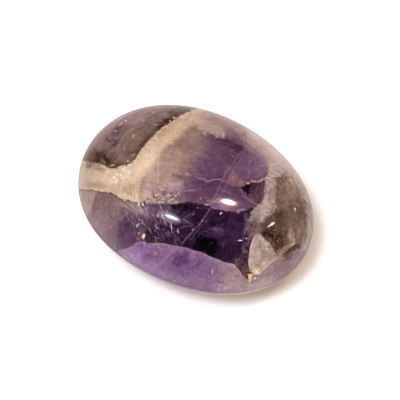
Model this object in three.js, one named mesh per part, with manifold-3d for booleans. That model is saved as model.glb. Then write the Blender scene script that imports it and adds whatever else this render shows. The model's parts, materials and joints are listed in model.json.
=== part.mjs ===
// A smooth stone of chevron amethyst: one piece of banded quartz, ground and polished by hand into a plump ovoid.
// Millimetres. +X runs along the stone towards its narrower end, +Y across it and +Z up out of its domed face.
// The origin is under the middle of the stone, on the surface that it rests on.

import * as THREE from "three";
import { mergeVertices } from "three/addons/utils/BufferGeometryUtils.js";
import Module from "manifold-3d";

// Driving dimensions
const HALF_LENGTH = 27.5;
const HALF_WIDTH = 20.5;
const HALF_THICKNESS = 14.4;
const FOOT_DEPTH = 0.45; // how far the underside is ground flat, so that the stone doesn't rock

// How the ovoid differs from a true ellipsoid
const TAPER = 0.04; // the +X end is narrower by this share, and the -X end wider
const SHOULDER = 0.06; // both ends are fuller across by this share
const CROWN = 0.03; // the upper face is domed higher by this share, and the underside lower

// Broad, shallow flats that hand grinding left: which way each faces, its angular reach and its depth at the middle
const FLATS = [
  { facing: [-0.55, 0.45, 0.7], reach: 0.55, depth: 0.55 },
  { facing: [0.62, -0.3, 0.72], reach: 0.5, depth: 0.5 },
  { facing: [0.1, 0.35, -0.93], reach: 0.6, depth: 0.5 },
  { facing: [-0.25, -0.8, -0.55], reach: 0.5, depth: 0.45 },
];

const EDGE_STEPS = 15; // each edge of the starting icosahedron is split into one more part than this

const QUARTZ = new THREE.MeshStandardMaterial({
  color: 0x7d5f7e,
  roughness: 0.08,
  metalness: 0,
});

// Moves a point of the unit sphere to its place on the ovoid.
function toOvoid(direction) {
  const { x, y, z } = direction;
  const width = 1 - TAPER * x + SHOULDER * x * x;
  const point = new THREE.Vector3(
    HALF_LENGTH * x,
    HALF_WIDTH * y * width,
    HALF_THICKNESS * z * (1 + CROWN * z),
  );
  for (const { facing, reach, depth } of FLATS) {
    const angle = direction.angleTo(new THREE.Vector3(...facing));
    point.addScaledVector(direction, -depth * Math.exp(-((angle / reach) ** 2)));
  }
  return point;
}

// The whole ovoid as one closed surface, before its foot is ground.
function ovoid() {
  const geometry = new THREE.IcosahedronGeometry(1, EDGE_STEPS);
  geometry.deleteAttribute("normal");
  geometry.deleteAttribute("uv");
  const merged = mergeVertices(geometry);
  const place = merged.getAttribute("position");
  const direction = new THREE.Vector3();
  for (let i = 0; i < place.count; i += 1) {
    direction.fromBufferAttribute(place, i).normalize();
    place.setXYZ(i, ...toOvoid(direction));
  }
  return merged;
}

// A block that takes away everything below the foot's plane.
function grindingBlock(lowest) {
  const side = 2 * HALF_LENGTH;
  const block = new THREE.BoxGeometry(side, side, side);
  block.deleteAttribute("normal");
  block.deleteAttribute("uv");
  block.translate(0, 0, lowest + FOOT_DEPTH - side / 2);
  return mergeVertices(block);
}

const wasm = await Module();
wasm.setup();

function solidOf(geometry) {
  return new wasm.Manifold(
    new wasm.Mesh({
      numProp: 3,
      vertProperties: geometry.getAttribute("position").array,
      triVerts: new Uint32Array(geometry.index.array),
    }),
  );
}

function geometryOf(solid) {
  const { vertProperties, triVerts } = solid.getMesh();
  return new THREE.BufferGeometry()
    .setAttribute("position", new THREE.BufferAttribute(vertProperties, 3))
    .setIndex(new THREE.BufferAttribute(triVerts, 1));
}

// The stone with its foot ground flat, and the foot's plane at height 0 under the middle of the stone.
function stoneGeometry() {
  const whole = ovoid();
  whole.computeBoundingBox();
  const block = grindingBlock(whole.boundingBox.min.z);
  const geometry = geometryOf(solidOf(whole).subtract(solidOf(block)));
  geometry.computeBoundingBox();
  const { min, max } = geometry.boundingBox;
  geometry.translate(-(min.x + max.x) / 2, -(min.y + max.y) / 2, -min.z);
  geometry.computeVertexNormals();
  return geometry;
}

const stone = new THREE.Mesh(stoneGeometry(), QUARTZ);
stone.name = "stone";

const part = new THREE.Group();
part.add(stone);

export default part;
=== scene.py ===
# %% [markdown]
# # A polished stone of chevron amethyst
# Chevron amethyst is quartz that grew in layers: smoky brown, a cream band of milky quartz folded into a
# V, and several depths of purple. A piece of it was ground and polished by hand into a plump ovoid,
# small enough to close in a fist. The whole stone is one piece, so this lesson makes one mesh and spends
# its effort on the finish: where each zone of colour lies, how its edge breaks up, and what the quartz
# holds.

# %% Load the frame
import math

import bmesh
import bpy
import numpy as np
from mathutils import Matrix, Vector
from mathutils.bvhtree import BVHTree
from mathutils.interpolate import poly_3d_calc
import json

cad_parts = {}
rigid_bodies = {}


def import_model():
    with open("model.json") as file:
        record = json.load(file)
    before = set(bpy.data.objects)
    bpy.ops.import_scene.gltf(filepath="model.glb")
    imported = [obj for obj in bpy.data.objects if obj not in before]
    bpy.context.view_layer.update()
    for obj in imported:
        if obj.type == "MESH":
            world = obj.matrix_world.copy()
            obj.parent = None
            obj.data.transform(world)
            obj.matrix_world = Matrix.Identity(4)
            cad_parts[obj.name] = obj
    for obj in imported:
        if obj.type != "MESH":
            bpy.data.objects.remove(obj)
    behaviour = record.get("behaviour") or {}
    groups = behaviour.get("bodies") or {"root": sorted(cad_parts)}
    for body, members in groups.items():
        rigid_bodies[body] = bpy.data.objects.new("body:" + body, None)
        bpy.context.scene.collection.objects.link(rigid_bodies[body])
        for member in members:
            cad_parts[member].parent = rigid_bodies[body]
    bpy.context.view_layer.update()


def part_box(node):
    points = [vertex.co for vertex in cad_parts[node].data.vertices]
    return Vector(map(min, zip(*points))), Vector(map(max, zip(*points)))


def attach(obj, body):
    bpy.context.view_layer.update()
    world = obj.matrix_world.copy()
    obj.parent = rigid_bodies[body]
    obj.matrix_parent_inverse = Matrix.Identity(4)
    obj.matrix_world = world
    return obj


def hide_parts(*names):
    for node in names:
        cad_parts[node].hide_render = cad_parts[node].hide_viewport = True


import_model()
MM = 0.001

# %% [markdown]
# ## The ovoid
# A lapidary grinds such a stone freehand, so it is nearly an ellipsoid but not quite: one end is
# narrower, the ends are fuller across than an ellipse, and broad shallow flats are left where it met the
# wheel. An icosphere is the right start, because its triangles are all alike and it has no poles to
# pinch the gloss. Every vertex is a direction from the middle, and one function moves it to its place.

# %% Start from an even sphere
HALF_LENGTH, HALF_WIDTH, HALF_THICKNESS = 27.5 * MM, 20.5 * MM, 14.4 * MM
TAPER = 0.04  # the +X end is narrower by this share
SHOULDER = 0.06  # both ends are fuller across by this share
CROWN = 0.03  # the upper face is domed higher by this share
GRINDING_FLATS = [  # the way each flat faces, its angular reach and its depth at the middle
    (Vector((-0.55, 0.45, 0.70)), 0.55, 0.55 * MM),
    (Vector((0.62, -0.30, 0.72)), 0.50, 0.50 * MM),
    (Vector((0.10, 0.35, -0.93)), 0.60, 0.50 * MM),
    (Vector((-0.25, -0.80, -0.55)), 0.50, 0.45 * MM),
]
SPHERE_SUBDIVISIONS = 7
FACE_WAY = Vector((0.105, -0.265, 0.958))  # the middle of the patterned face
FINE_REACH = 0.27  # the finer part of the sphere lies this far, of its radius, along that way

stone_bm = bmesh.new()
bmesh.ops.create_icosphere(stone_bm, subdivisions=SPHERE_SUBDIVISIONS, radius=1.0)
fine_edges = [e for e in stone_bm.edges if min(v.co.dot(FACE_WAY) for v in e.verts) > FINE_REACH]
bmesh.ops.subdivide_edges(stone_bm, edges=fine_edges, cuts=1, use_grid_fill=True)
bmesh.ops.triangulate(stone_bm, faces=[face for face in stone_bm.faces if len(face.verts) > 3])
print("sphere:", len(stone_bm.verts), "vertices,", len(stone_bm.faces), "faces")


# %% Move each vertex to its place on the ovoid
def to_ovoid(direction):
    """The point of the ovoid that lies in this direction from its middle, before the foot is ground."""
    x, y, z = direction
    width = 1 - TAPER * x + SHOULDER * x * x
    point = Vector((HALF_LENGTH * x, HALF_WIDTH * y * width, HALF_THICKNESS * z * (1 + CROWN * z)))
    for facing, reach, depth in GRINDING_FLATS:
        angle = direction.angle(facing)
        point -= direction * depth * math.exp(-((angle / reach) ** 2))
    return point


for vert in stone_bm.verts:
    vert.co = to_ovoid(vert.co.normalized())
lowest = Vector(min(v.co[axis] for v in stone_bm.verts) for axis in range(3))
highest = Vector(max(v.co[axis] for v in stone_bm.verts) for axis in range(3))
print("ovoid, mm:", [round(x / MM, 2) for x in highest - lowest])

# %% [markdown]
# ## Setting it on its foot
# The frame says where the stone's box is: its top and its middle give the ovoid's place. The underside
# is ground flat where it rests, so what would be below the floor is brought up to it, with a softened
# edge like the one that polishing leaves.

# %% Place it in the frame and grind the foot
FOOT_EDGE = 0.06 * MM
box_low, box_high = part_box("stone")
middle = (box_low + box_high) / 2 - (lowest + highest) / 2
middle.z = box_high.z - highest.z
for vert in stone_bm.verts:
    vert.co += middle
    vert.co.z = (vert.co.z + math.hypot(vert.co.z, FOOT_EDGE)) / 2
for face in stone_bm.faces:
    face.smooth = True
stone_mesh = bpy.data.meshes.new("stone_polished")
stone_bm.normal_update()
stone_bm.to_mesh(stone_mesh)
stone_tree = BVHTree.FromBMesh(stone_bm)
stone_bm.free()
stone = bpy.data.objects.new("stone_polished", stone_mesh)
bpy.context.scene.collection.objects.link(stone)
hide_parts("stone")
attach(stone, "root")
print("middle of the ovoid, mm:", [round(x / MM, 2) for x in middle])

# %% [markdown]
# ## The camera
# The stone lies on a table and is seen from well above, with its long axis running down to the right. A
# long lens from 42 cm away keeps the outline free of stretching. The view is also a layout sheet: the
# frame is 400 units wide, and places on the stone's face are given in those units from its top left
# corner.

# %% Make the camera
VIEW_TURN = math.radians(28.2)
VIEW_RISE = math.radians(66)
VIEW_DISTANCE = 420 * MM
FRAME_WIDTH = 89.45 * MM
AIM_RIGHT, AIM_UP = 0.90 * MM, -0.08 * MM
SENSOR = 36
SHEET = 400

toward_eye = Vector(
    (
        math.sin(VIEW_TURN) * math.cos(VIEW_RISE),
        -math.cos(VIEW_TURN) * math.cos(VIEW_RISE),
        math.sin(VIEW_RISE),
    )
)
eye_right = Vector((math.cos(VIEW_TURN), math.sin(VIEW_TURN), 0))
eye_up = toward_eye.cross(eye_right)
aim = middle + eye_right * AIM_RIGHT + eye_up * AIM_UP
eye = aim + toward_eye * VIEW_DISTANCE
camera_data = bpy.data.cameras.new("camera")
camera_data.sensor_width = SENSOR
camera_data.lens = SENSOR * VIEW_DISTANCE / FRAME_WIDTH
camera_data.clip_start = 10 * MM
camera = bpy.data.objects.new("camera", camera_data)
camera.location = eye
camera.rotation_euler = toward_eye.to_track_quat("Z", "Y").to_euler()
bpy.context.scene.collection.objects.link(camera)
bpy.context.scene.camera = camera
print("lens:", round(camera_data.lens), "mm")


# %% Find a place of the sheet on the stone
def sheet_ray(across, down):
    """The direction in which the eye sees a place on the layout sheet."""
    step = FRAME_WIDTH / SHEET
    spot = aim + eye_right * (across - SHEET / 2) * step - eye_up * (down - SHEET / 2) * step
    return (spot - eye).normalized()


def face_spot(across, down):
    """The point of the stone's face under a place on the sheet, and the way the surface faces there."""
    spot, _, face, _ = stone_tree.ray_cast(eye, sheet_ray(across, down))
    corners = [stone_mesh.vertices[i] for i in stone_mesh.polygons[face].vertices]
    shares = poly_3d_calc([corner.co for corner in corners], spot)
    facing = sum((corner.normal * share for corner, share in zip(corners, shares)), Vector())
    return spot, facing.normalized()


# %% [markdown]
# ## Where everything lies in the quartz
# The layers run right through the stone, so a zone is an outline on the layout sheet, carried straight
# through from the face to the back. Each vertex is given its own place on the sheet, and on the far side
# that place drifts, as slanting layers do, so that the back isn't the face again. How far a vertex lies
# inside an outline becomes an attribute, and the material turns it into an edge.


# %% Give every vertex its place on the sheet
BACK_DRIFT = np.array((34.0, -22.0))  # how far the layers have slanted where the surface faces away

spots = np.array([vert.co for vert in stone_mesh.vertices])
facings = np.array([vert.normal for vert in stone_mesh.vertices])
sight = spots - np.array(eye)
depth = -(sight @ np.array(toward_eye))
per_unit = depth * FRAME_WIDTH / SHEET / VIEW_DISTANCE
places = np.stack((sight @ np.array(eye_right), -(sight @ np.array(eye_up))), axis=1) / per_unit[:, None]
places += SHEET / 2
toward_face = -(sight * facings).sum(axis=1) / np.linalg.norm(sight, axis=1)
places += BACK_DRIFT * np.clip(-toward_face, 0, 1)[:, None] ** 1.5
print("places run from", places.min(axis=0).round(), "to", places.max(axis=0).round())


# %% Keep a number for each vertex
def store(name, values):
    """Keeps one number for each vertex."""
    attribute = stone_mesh.attributes.new(name, "FLOAT", "POINT")
    attribute.data.foreach_set("value", values.astype(np.float32))


store("across", places[:, 0])
store("down", places[:, 1])
store("front", toward_face)
print("numbers kept for", len(toward_face), "vertices")


# %% Measure how far a broken line is
def nearest_on_line(points, corners):
    """For each point: how far away a broken line is, how far along it that is, and on which side."""
    best = np.full(len(points), np.inf)
    along = np.zeros(len(points))
    side = np.ones(len(points))
    run = 0.0
    for start, end in zip(corners[:-1], corners[1:]):
        step = end - start
        length = np.linalg.norm(step)
        to_point = points - start
        share = np.clip(to_point @ step / length**2, 0, 1)
        gap = np.linalg.norm(to_point - share[:, None] * step, axis=1)
        closer = gap < best
        best[closer] = gap[closer]
        along[closer] = run + share[closer] * length
        side[closer] = np.sign(step[0] * to_point[closer, 1] - step[1] * to_point[closer, 0])
        run += length
    return best, along, side


# %% Measure how far inside an outline a vertex is
def inside_by(outline):
    """How far each vertex lies inside a closed outline, in sheet units; outside it is negative."""
    corners = np.array(outline + outline[:1], float)
    gap = nearest_on_line(places, corners)[0]
    crossings = np.zeros(len(places), int)
    for (x0, y0), (x1, y1) in zip(corners[:-1], corners[1:]):
        if y0 == y1:
            continue
        spans = (y0 > places[:, 1]) != (y1 > places[:, 1])
        crossings += spans & (places[:, 0] < x0 + (x1 - x0) * (places[:, 1] - y0) / (y1 - y0))
    return np.where(crossings % 2, gap, -gap)


# %% [markdown]
# ## A few helpers for building nodes
# A finish made by a script is a long list of nodes and links. One helper that adds a node, sets it and
# feeds it keeps every later step to a line. Colours are mixed as a screen shows them and then turned
# into what the shader expects. They are mixed as plain vectors, and all other sums are done on single
# numbers, because the renderer keeps its values in a small store and this finish is long.


# %% Add a node, do a sum
def add(tree, kind, feeds=(), **settings):
    """A new node, with its settings and with values or other nodes' outputs fed to its inputs."""
    node = tree.nodes.new("ShaderNode" + kind)
    for name, value in settings.items():
        setattr(node, name, value)
    for key, value in dict(feeds).items():
        if isinstance(value, bpy.types.NodeSocket):
            tree.links.new(value, node.inputs[key])
        else:
            node.inputs[key].default_value = value
    return node


def calc(tree, operation, *values, clamp=False):
    """One step of arithmetic."""
    return add(tree, "Math", enumerate(values), operation=operation, use_clamp=clamp).outputs[0]


# %% Turn a value into a mask
def ramp(tree, value, low, high, to_low=0.0, to_high=1.0):
    """A smooth climb as the value goes from low to high."""
    feeds = {"Value": value, "From Min": low, "From Max": high, "To Min": to_low, "To Max": to_high}
    return add(tree, "MapRange", feeds, interpolation_type="SMOOTHSTEP", clamp=False).outputs[0]


# %% Read noise
NOISE_MIDDLE = 0.5
NOISE_GAIN = 5.0  # brings the usual swing of a noise texture to about one each way


def noise(tree, place, scale, detail=2.0, roughness=0.5, distortion=0.0):
    """A noise texture in three dimensions."""
    feeds = {
        "Vector": place, "Scale": scale, "Detail": detail, "Roughness": roughness,
        "Distortion": distortion
    }
    return add(tree, "TexNoise", feeds)


def swing(tree, place, scale, detail=2.0, roughness=0.5, distortion=0.0):
    """Noise that swings evenly about nought, mostly between -1 and 1."""
    fac = noise(tree, place, scale, detail, roughness, distortion).outputs["Fac"]
    return calc(tree, "MULTIPLY", calc(tree, "SUBTRACT", fac, NOISE_MIDDLE), NOISE_GAIN)


# %% Mix and scale tones
def tint(red, green, blue):
    """A colour given as a screen shows it, from 0 to 255 each, turned into what the shader needs."""
    parts = (np.array((red, green, blue)) / 255).tolist()
    return tuple(p / 12.92 if p <= 0.04045 else ((p + 0.055) / 1.055) ** 2.4 for p in parts)


def lay(tree, under, over, mask):
    """Lays one colour over another where the mask says."""
    return add(tree, "Mix", {0: mask, 4: under, 5: over}, data_type="VECTOR").outputs[1]


def scaled(tree, tone, amount):
    """A tone made brighter or darker."""
    node = add(tree, "Mix", {0: amount, 4: (0, 0, 0), 5: tone}, data_type="VECTOR", clamp_factor=False)
    return node.outputs[1]


print("plum on the screen is", [round(part, 3) for part in tint(78, 56, 76)], "in the shader")


# %% Make a node group and place it
def new_group(name, inputs, outputs):
    """An empty node group with these named inputs and outputs, each with its kind and its usual value."""
    group = bpy.data.node_groups.new(name, "ShaderNodeTree")
    for label, kind, value in inputs:
        socket = group.interface.new_socket(label, in_out="INPUT", socket_type="NodeSocket" + kind)
        if value is not None:
            socket.default_value = value
    for label, kind in outputs:
        group.interface.new_socket(label, in_out="OUTPUT", socket_type="NodeSocket" + kind)
    return group, group.nodes.new("NodeGroupInput").outputs, group.nodes.new("NodeGroupOutput").inputs


def use(tree, group, **feeds):
    """Places a group in a tree and gives back its outputs; an underscore in a name stands for a space."""
    node = tree.nodes.new("ShaderNodeGroup")
    node.node_tree = group
    for label, value in feeds.items():
        socket = node.inputs[label.replace("_", " ")]
        if isinstance(value, bpy.types.NodeSocket):
            tree.links.new(value, socket)
        else:
            socket.default_value = value
    return node.outputs


# %% [markdown]
# ## A broken edge
# One layer of quartz doesn't end in a clean line: its crystals bite into the next. A painted edge would
# be smooth, so noise is added to the distance from an outline before that distance becomes a mask, and
# the edge breaks up by real parts of a millimetre. Every zone has such an edge, so it is one node group.

# %% Build the broken edge
broken_edge, given, gives = new_group(
    "broken_edge",
    [
        ("Inside", "Float", 0),
        ("Bites", "Float", 0),
        ("Crumble", "Float", 1.0),
        ("Soft", "Float", 0.6),
    ],
    [("Mask", "Float"), ("Depth", "Float")],
)
moved = calc(broken_edge, "MULTIPLY_ADD", given["Bites"], given["Crumble"], given["Inside"])
mask = ramp(broken_edge, moved, calc(broken_edge, "MULTIPLY", given["Soft"], -1), given["Soft"])
broken_edge.links.new(mask, gives["Mask"])
broken_edge.links.new(moved, gives["Depth"])
print("broken_edge:", len(broken_edge.nodes), "nodes")

# %% [markdown]
# ## Soft ovals
# Inside a zone the colour drifts in clouds, smudges and sparkles. On a flat picture a brush would lay
# them. Here a turned oval does it, with a middle, two half lengths and a strength, because it works in
# the material itself and stays sharp at any size. One group lays another tone inside the oval. The other
# multiplies what is there, which keeps its texture and only makes it darker or paler: it lays painted
# light and shade.

# %% The mask of an oval
OVAL_RIM = 1.25  # an oval has faded out this far from its middle, in half lengths
OVAL = [
    ("Across", "Float", 0.0),
    ("Down", "Float", 0.0),
    ("Long Across", "Float", 1.0),
    ("Long Down", "Float", 0.0),
    ("Long Start", "Float", 0.0),
    ("Wide Across", "Float", 0.0),
    ("Wide Down", "Float", 1.0),
    ("Wide Start", "Float", 0.0),
    ("Core", "Float", 0.0),
    ("Share", "Float", 1.0),
    ("Seen", "Float", 1.0),
    ("Under", "Vector", None),
]


def oval_mask(group, given):
    """The mask of a turned oval, full inside its core and gone a quarter beyond its rim."""
    reach = 0.0
    for measure in ("Long", "Wide"):
        part = calc(
            group, "MULTIPLY_ADD", given["Down"], given[measure + " Down"], given[measure + " Start"]
        )
        part = calc(group, "MULTIPLY_ADD", given["Across"], given[measure + " Across"], part)
        reach = calc(group, "MULTIPLY_ADD", part, part, reach)
    mask = ramp(group, calc(group, "SQRT", reach), given["Core"], OVAL_RIM, given["Share"], 0.0)
    return calc(group, "MULTIPLY", mask, given["Seen"])


# %% Build the dab and the veil of painted light and shade
soft_dab, given, gives = new_group("soft_dab", OVAL + [("Tone", "Vector", None)], [("Tone", "Vector")])
soft_dab.links.new(lay(soft_dab, given["Under"], given["Tone"], oval_mask(soft_dab, given)), gives["Tone"])
light_and_shade_veil, given, gives = new_group("light_and_shade_veil", OVAL, [("Tone", "Vector")])
strength = calc(light_and_shade_veil, "ADD", oval_mask(light_and_shade_veil, given), 1.0)
light_and_shade_veil.links.new(scaled(light_and_shade_veil, given["Under"], strength), gives["Tone"])
print("soft_dab:", len(soft_dab.nodes), "nodes; light_and_shade_veil:", len(light_and_shade_veil.nodes), "nodes")

# %% [markdown]
# ## Threads and flecks
# Cracks that healed while the quartz grew show as thin pale threads, and tiny hollows as flecks. Threads
# could be drawn one by one, but smooth noise crosses its middle value along wandering lines, so a
# place's distance from that value gives any number of them. The cells of a Voronoi texture, most of them
# left out, give the flecks. The threads also come and go in patches, because flaws keep together.

# %% Build the threads
PATCH_FADE = 0.12
threads_group, given, gives = new_group(
    "threads",
    [
        ("Place", "Vector", None),
        ("Whole Place", "Vector", None),
        ("Scale", "Float", 1.5),
        ("Width", "Float", 0.03),
        ("Patch Scale", "Float", 0.9),
        ("Bare", "Float", 0.5),
    ],
    [("Mask", "Float")],
)
swell = noise(threads_group, given["Place"], given["Scale"], 2.0, 0.5, 0.4).outputs["Fac"]
off_line = calc(threads_group, "ABSOLUTE", calc(threads_group, "SUBTRACT", swell, NOISE_MIDDLE))
thread = ramp(threads_group, off_line, 0.0, given["Width"], 1.0, 0.0)
patch = noise(threads_group, given["Whole Place"], given["Patch Scale"], 2.0).outputs["Fac"]
patch = ramp(threads_group, patch, given["Bare"], calc(threads_group, "ADD", given["Bare"], PATCH_FADE))
threads_group.links.new(calc(threads_group, "MULTIPLY", thread, patch), gives["Mask"])

print("threads:", len(threads_group.nodes), "nodes")

# %% Build the flecks
flecks_group, given, gives = new_group(
    "flecks",
    [("Place", "Vector", None), ("Scale", "Float", 1.0), ("Size", "Float", 0.15), ("Kept", "Float", 0.3)],
    [("Mask", "Float")],
)
cells = add(flecks_group, "TexVoronoi", {"Vector": given["Place"], "Scale": given["Scale"]})
rim = calc(flecks_group, "MULTIPLY", given["Size"], given["Scale"])
spot_mask = ramp(flecks_group, cells.outputs["Distance"], 0.0, rim, 1.0, 0.0)
lot = add(flecks_group, "SeparateColor", {0: cells.outputs["Color"]}).outputs[0]
kept = calc(flecks_group, "LESS_THAN", lot, given["Kept"])
flecks_group.links.new(calc(flecks_group, "MULTIPLY", spot_mask, kept), gives["Mask"])
print("flecks:", len(flecks_group.nodes), "nodes")

# %% [markdown]
# ## One material for the whole stone
# The stone is one polished surface, so it has one shader, and only its colour, its roughness and its
# pits change. Object coordinates, turned into millimetres, carry all the noise, because it then runs
# through the stone like real growth and isn't stretched where the sides fall away. An unwrapped map
# would have seams.

# %% Start the material
quartz = bpy.data.materials.new("chevron_amethyst")
quartz.use_nodes = True
tree = quartz.node_tree
surface = tree.nodes["Principled BSDF"]
object_place = add(tree, "TexCoord").outputs["Object"]
place_mm = add(tree, "Mapping", {"Vector": object_place, "Scale": (1 / MM,) * 3}).outputs[0]


def stored(name):
    """A number that was kept for each vertex."""
    return add(tree, "Attribute", attribute_name=name).outputs["Fac"]


FACE_FADE = (0.05, 0.2)  # the exact marks fade out where the surface turns this far from the eye
front = ramp(tree, stored("front"), *FACE_FADE)
across = stored("across")
down = stored("down")
print("material:", quartz.name)


# %% Find directions in the stone
def heading(turn):
    """The direction in the stone that looks turned this many degrees clockwise from rightwards."""
    return eye_right * math.cos(math.radians(turn)) - eye_up * math.sin(math.radians(turn))


def drawn_out(turn, length):
    """Places squashed along a direction, so that what is made with them is drawn out along it."""
    way = heading(turn)
    frame_of_way = Matrix((way, toward_eye.cross(way), toward_eye)).transposed()
    feeds = {"Vector": place_mm, "Rotation": frame_of_way.to_euler(), "Scale": (length, 1, 1)}
    return add(tree, "Mapping", feeds, vector_type="TEXTURE").outputs[0]


print("a heading of 60 degrees points along", [round(part, 2) for part in heading(60)])

# %% [markdown]
# ## The grain of quartz
# No tone in a mineral is even. Slow clouds, a mottle, a fine grain and two sets of growth streaks are
# read once here and then shared by all the zones, each with its own amounts, so that the stone hangs
# together. The shard gleams are painted light: broad, flat gleams on planes inside the dark quartz,
# painted into the colour as paler and darker patches, so two hard-edged noises make them.

# %% The unevenness that the zones share
cloud = swing(tree, place_mm, 0.30, 2.0)
mottle = swing(tree, place_mm, 1.05, 4.0, 0.62)
grain = swing(tree, place_mm, 3.6, 2.0, 0.6)
rising = swing(tree, drawn_out(-50, 4.5), 1.25, 3.0, 0.6)
steep = swing(tree, drawn_out(-84, 5.0), 1.3, 3.0, 0.6)
patchy = ramp(tree, mottle, -1.2, 0.5, 0.3, 1.0)
# Painted light: hard-edged patches that stand for gleams on flat planes inside the quartz.
long_shard_gleams = ramp(tree, swing(tree, drawn_out(-62, 2.2), 0.6, 3.0, 0.6), -0.6, 0.6, -1, 1)
cross_shard_gleams = ramp(tree, swing(tree, drawn_out(15, 1.6), 1.1, 3.0, 0.6), -0.5, 0.5, -0.8, 0.8)
shard_gleam = calc(tree, "ADD", long_shard_gleams, cross_shard_gleams)
DARKEST_SHARE = 0.15  # a tone never falls below this share of itself


def worked(colour, clouds=0.0, mottles=0.0, grains=0.0, risings=0.0, steeps=0.0, shard_gleams=0.0):
    """Gives a plain colour the unevenness of the quartz and its painted shard gleams."""
    tone = 1.0
    amounts = (
        (cloud, clouds), (mottle, mottles), (grain, grains), (rising, risings), (steep, steeps),
        (shard_gleam, shard_gleams)
    )
    for signal, amount in amounts:
        if amount:
            tone = calc(tree, "MULTIPLY_ADD", signal, amount, tone)
    tone = calc(tree, "MAXIMUM", tone, DARKEST_SHARE)
    return scaled(tree, colour, tone)


print("signals:", len(tree.nodes), "nodes so far")

# %% Loosen the sheet for dabs and fray it for marks
broad_bites = calc(tree, "MULTIPLY", swing(tree, place_mm, 0.9, 2.0), 0.6)
bites = calc(tree, "ADD", broad_bites, swing(tree, place_mm, 2.6, 3.0, 0.7))
place_apart = add(tree, "Mapping", {"Vector": place_mm, "Location": (31, 17, 5)}).outputs[0]
WANDER = 4.4  # how far soft dabs are drawn out of shape, in sheet units
JITTER = 0.45  # how far exact marks are frayed, in sheet units
loose_across = calc(tree, "MULTIPLY_ADD", swing(tree, place_mm, 0.45, 3.0), WANDER, across)
loose_down = calc(tree, "MULTIPLY_ADD", swing(tree, place_apart, 0.45, 3.0), WANDER, down)
ragged_across = calc(tree, "MULTIPLY_ADD", swing(tree, place_mm, 2.2, 2.0), JITTER, across)
ragged_down = calc(tree, "MULTIPLY_ADD", swing(tree, place_apart, 2.2, 2.0), JITTER, down)
PLACED = [
    ("Across", "Float", 0.0), ("Down", "Float", 0.0), ("Seen", "Float", 1.0), ("Under", "Vector", None)
]
LOOSE = {"Across": loose_across, "Down": loose_down}
EXACT = {"Across": ragged_across, "Down": ragged_down, "Seen": front}
print("wander, mm:", round(WANDER * FRAME_WIDTH / SHEET / MM, 2))


# %% Place an oval on the sheet
def oval(middle_across, middle_down, long, wide, turn):
    """The feeds that place an oval, turned clockwise by some degrees, on the layout sheet."""
    right, downward = math.cos(math.radians(turn)), math.sin(math.radians(turn))
    return {
        "Long_Across": right / long,
        "Long_Down": downward / long,
        "Long_Start": -(middle_across * right + middle_down * downward) / long,
        "Wide_Across": -downward / wide,
        "Wide_Down": right / wide,
        "Wide_Start": (middle_across * downward - middle_down * right) / wide,
    }


print("an oval's feeds:", sorted(oval(200, 200, 10, 5, 30)))


# %% Lay many soft dabs at once
def one_patch(group, where, under, across_at, down_at, long, wide, turn, share, tone, core=0.0):
    """One oval of another tone."""
    place = oval(across_at, down_at, long, wide, turn)
    return use(
        group, soft_dab, **where, **place, Core=core, Share=share, Under=under, Tone=tint(*tone)
    )["Tone"]


def gathered(name, under, where, put_one, items):
    """Puts many ovals on one colour, one after another, inside a group of their own."""
    group, given, gives = new_group(name, PLACED, [("Tone", "Vector")])
    inside = {label: given[label] for label in ("Across", "Down", "Seen")}
    tone = given["Under"]
    for item in items:
        tone = put_one(group, inside, tone, *item)
    group.links.new(tone, gives["Tone"])
    print(name + ":", len(items), "ovals")
    return use(tree, group, **where, Under=under)["Tone"]


def dabs(name, under, items):
    """Soft dabs of other tones on the loosened sheet."""
    return gathered(name, under, LOOSE, one_patch, items)


# %% Bound a zone and cross masks
def area(name, outline, soft=0.6, crumble=1.0):
    """The mask of a zone of the quartz, and how deep inside it each place is."""
    depth_in = inside_by(outline)
    store(name, depth_in)
    print("zone", name + ":", int((depth_in > 0).sum()), "vertices")
    return use(tree, broken_edge, Inside=stored(name), Bites=bites, Crumble=crumble, Soft=soft)


def times(*values):
    """Several masks multiplied."""
    product = values[0]
    for value in values[1:]:
        product = calc(tree, "MULTIPLY", product, value)
    return product


# %% Fill a zone with threads or strokes
def threads(place=place_mm, *, scale, width, patch_scale, bare):
    """The mask of thin wandering threads."""
    return use(
        tree, threads_group, Place=place, Whole_Place=place_mm, Scale=scale, Width=width,
        Patch_Scale=patch_scale, Bare=bare
    )["Mask"]


def strokes(place=place_mm, *, scale, low, high, rough=0.6):
    """The mask of short broken strokes, where drawn-out noise runs high."""
    return ramp(tree, noise(tree, place, scale, 3.0, rough).outputs["Fac"], low, high)


# %% Lay a tone where masks meet
def over(under, tone, *masks):
    """Lays a tone over a colour where all the masks meet."""
    return lay(tree, under, tint(*tone), times(*masks))


leaning = drawn_out(-52, 3.0)
print("threads, strokes and dabs are ready:", len(tree.nodes), "nodes so far")

# %% [markdown]
# ## The body: beige that turns purple
# Between the cream band and the pale shoulder the quartz goes from beige to purple with no edge at all,
# so this is the ground on which the other zones are laid. A colour ramp could make a gradient, but the
# change is cloudy and leans with the growth of the crystal. One very soft outline divides the two tones,
# dabs pull them about, and thin streaks run along the growth.

# %% Divide beige from purple
beige_zone = area("beige", [
    (100, 90), (208, 90), (209, 118), (204, 135), (199, 150), (192, 160), (186, 170), (181, 180),
    (180, 190), (179, 206), (174, 225), (100, 225),
], soft=15, crumble=3)["Mask"]
colour = lay(tree, tint(86, 59, 84), tint(139, 119, 110), beige_zone)

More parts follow.
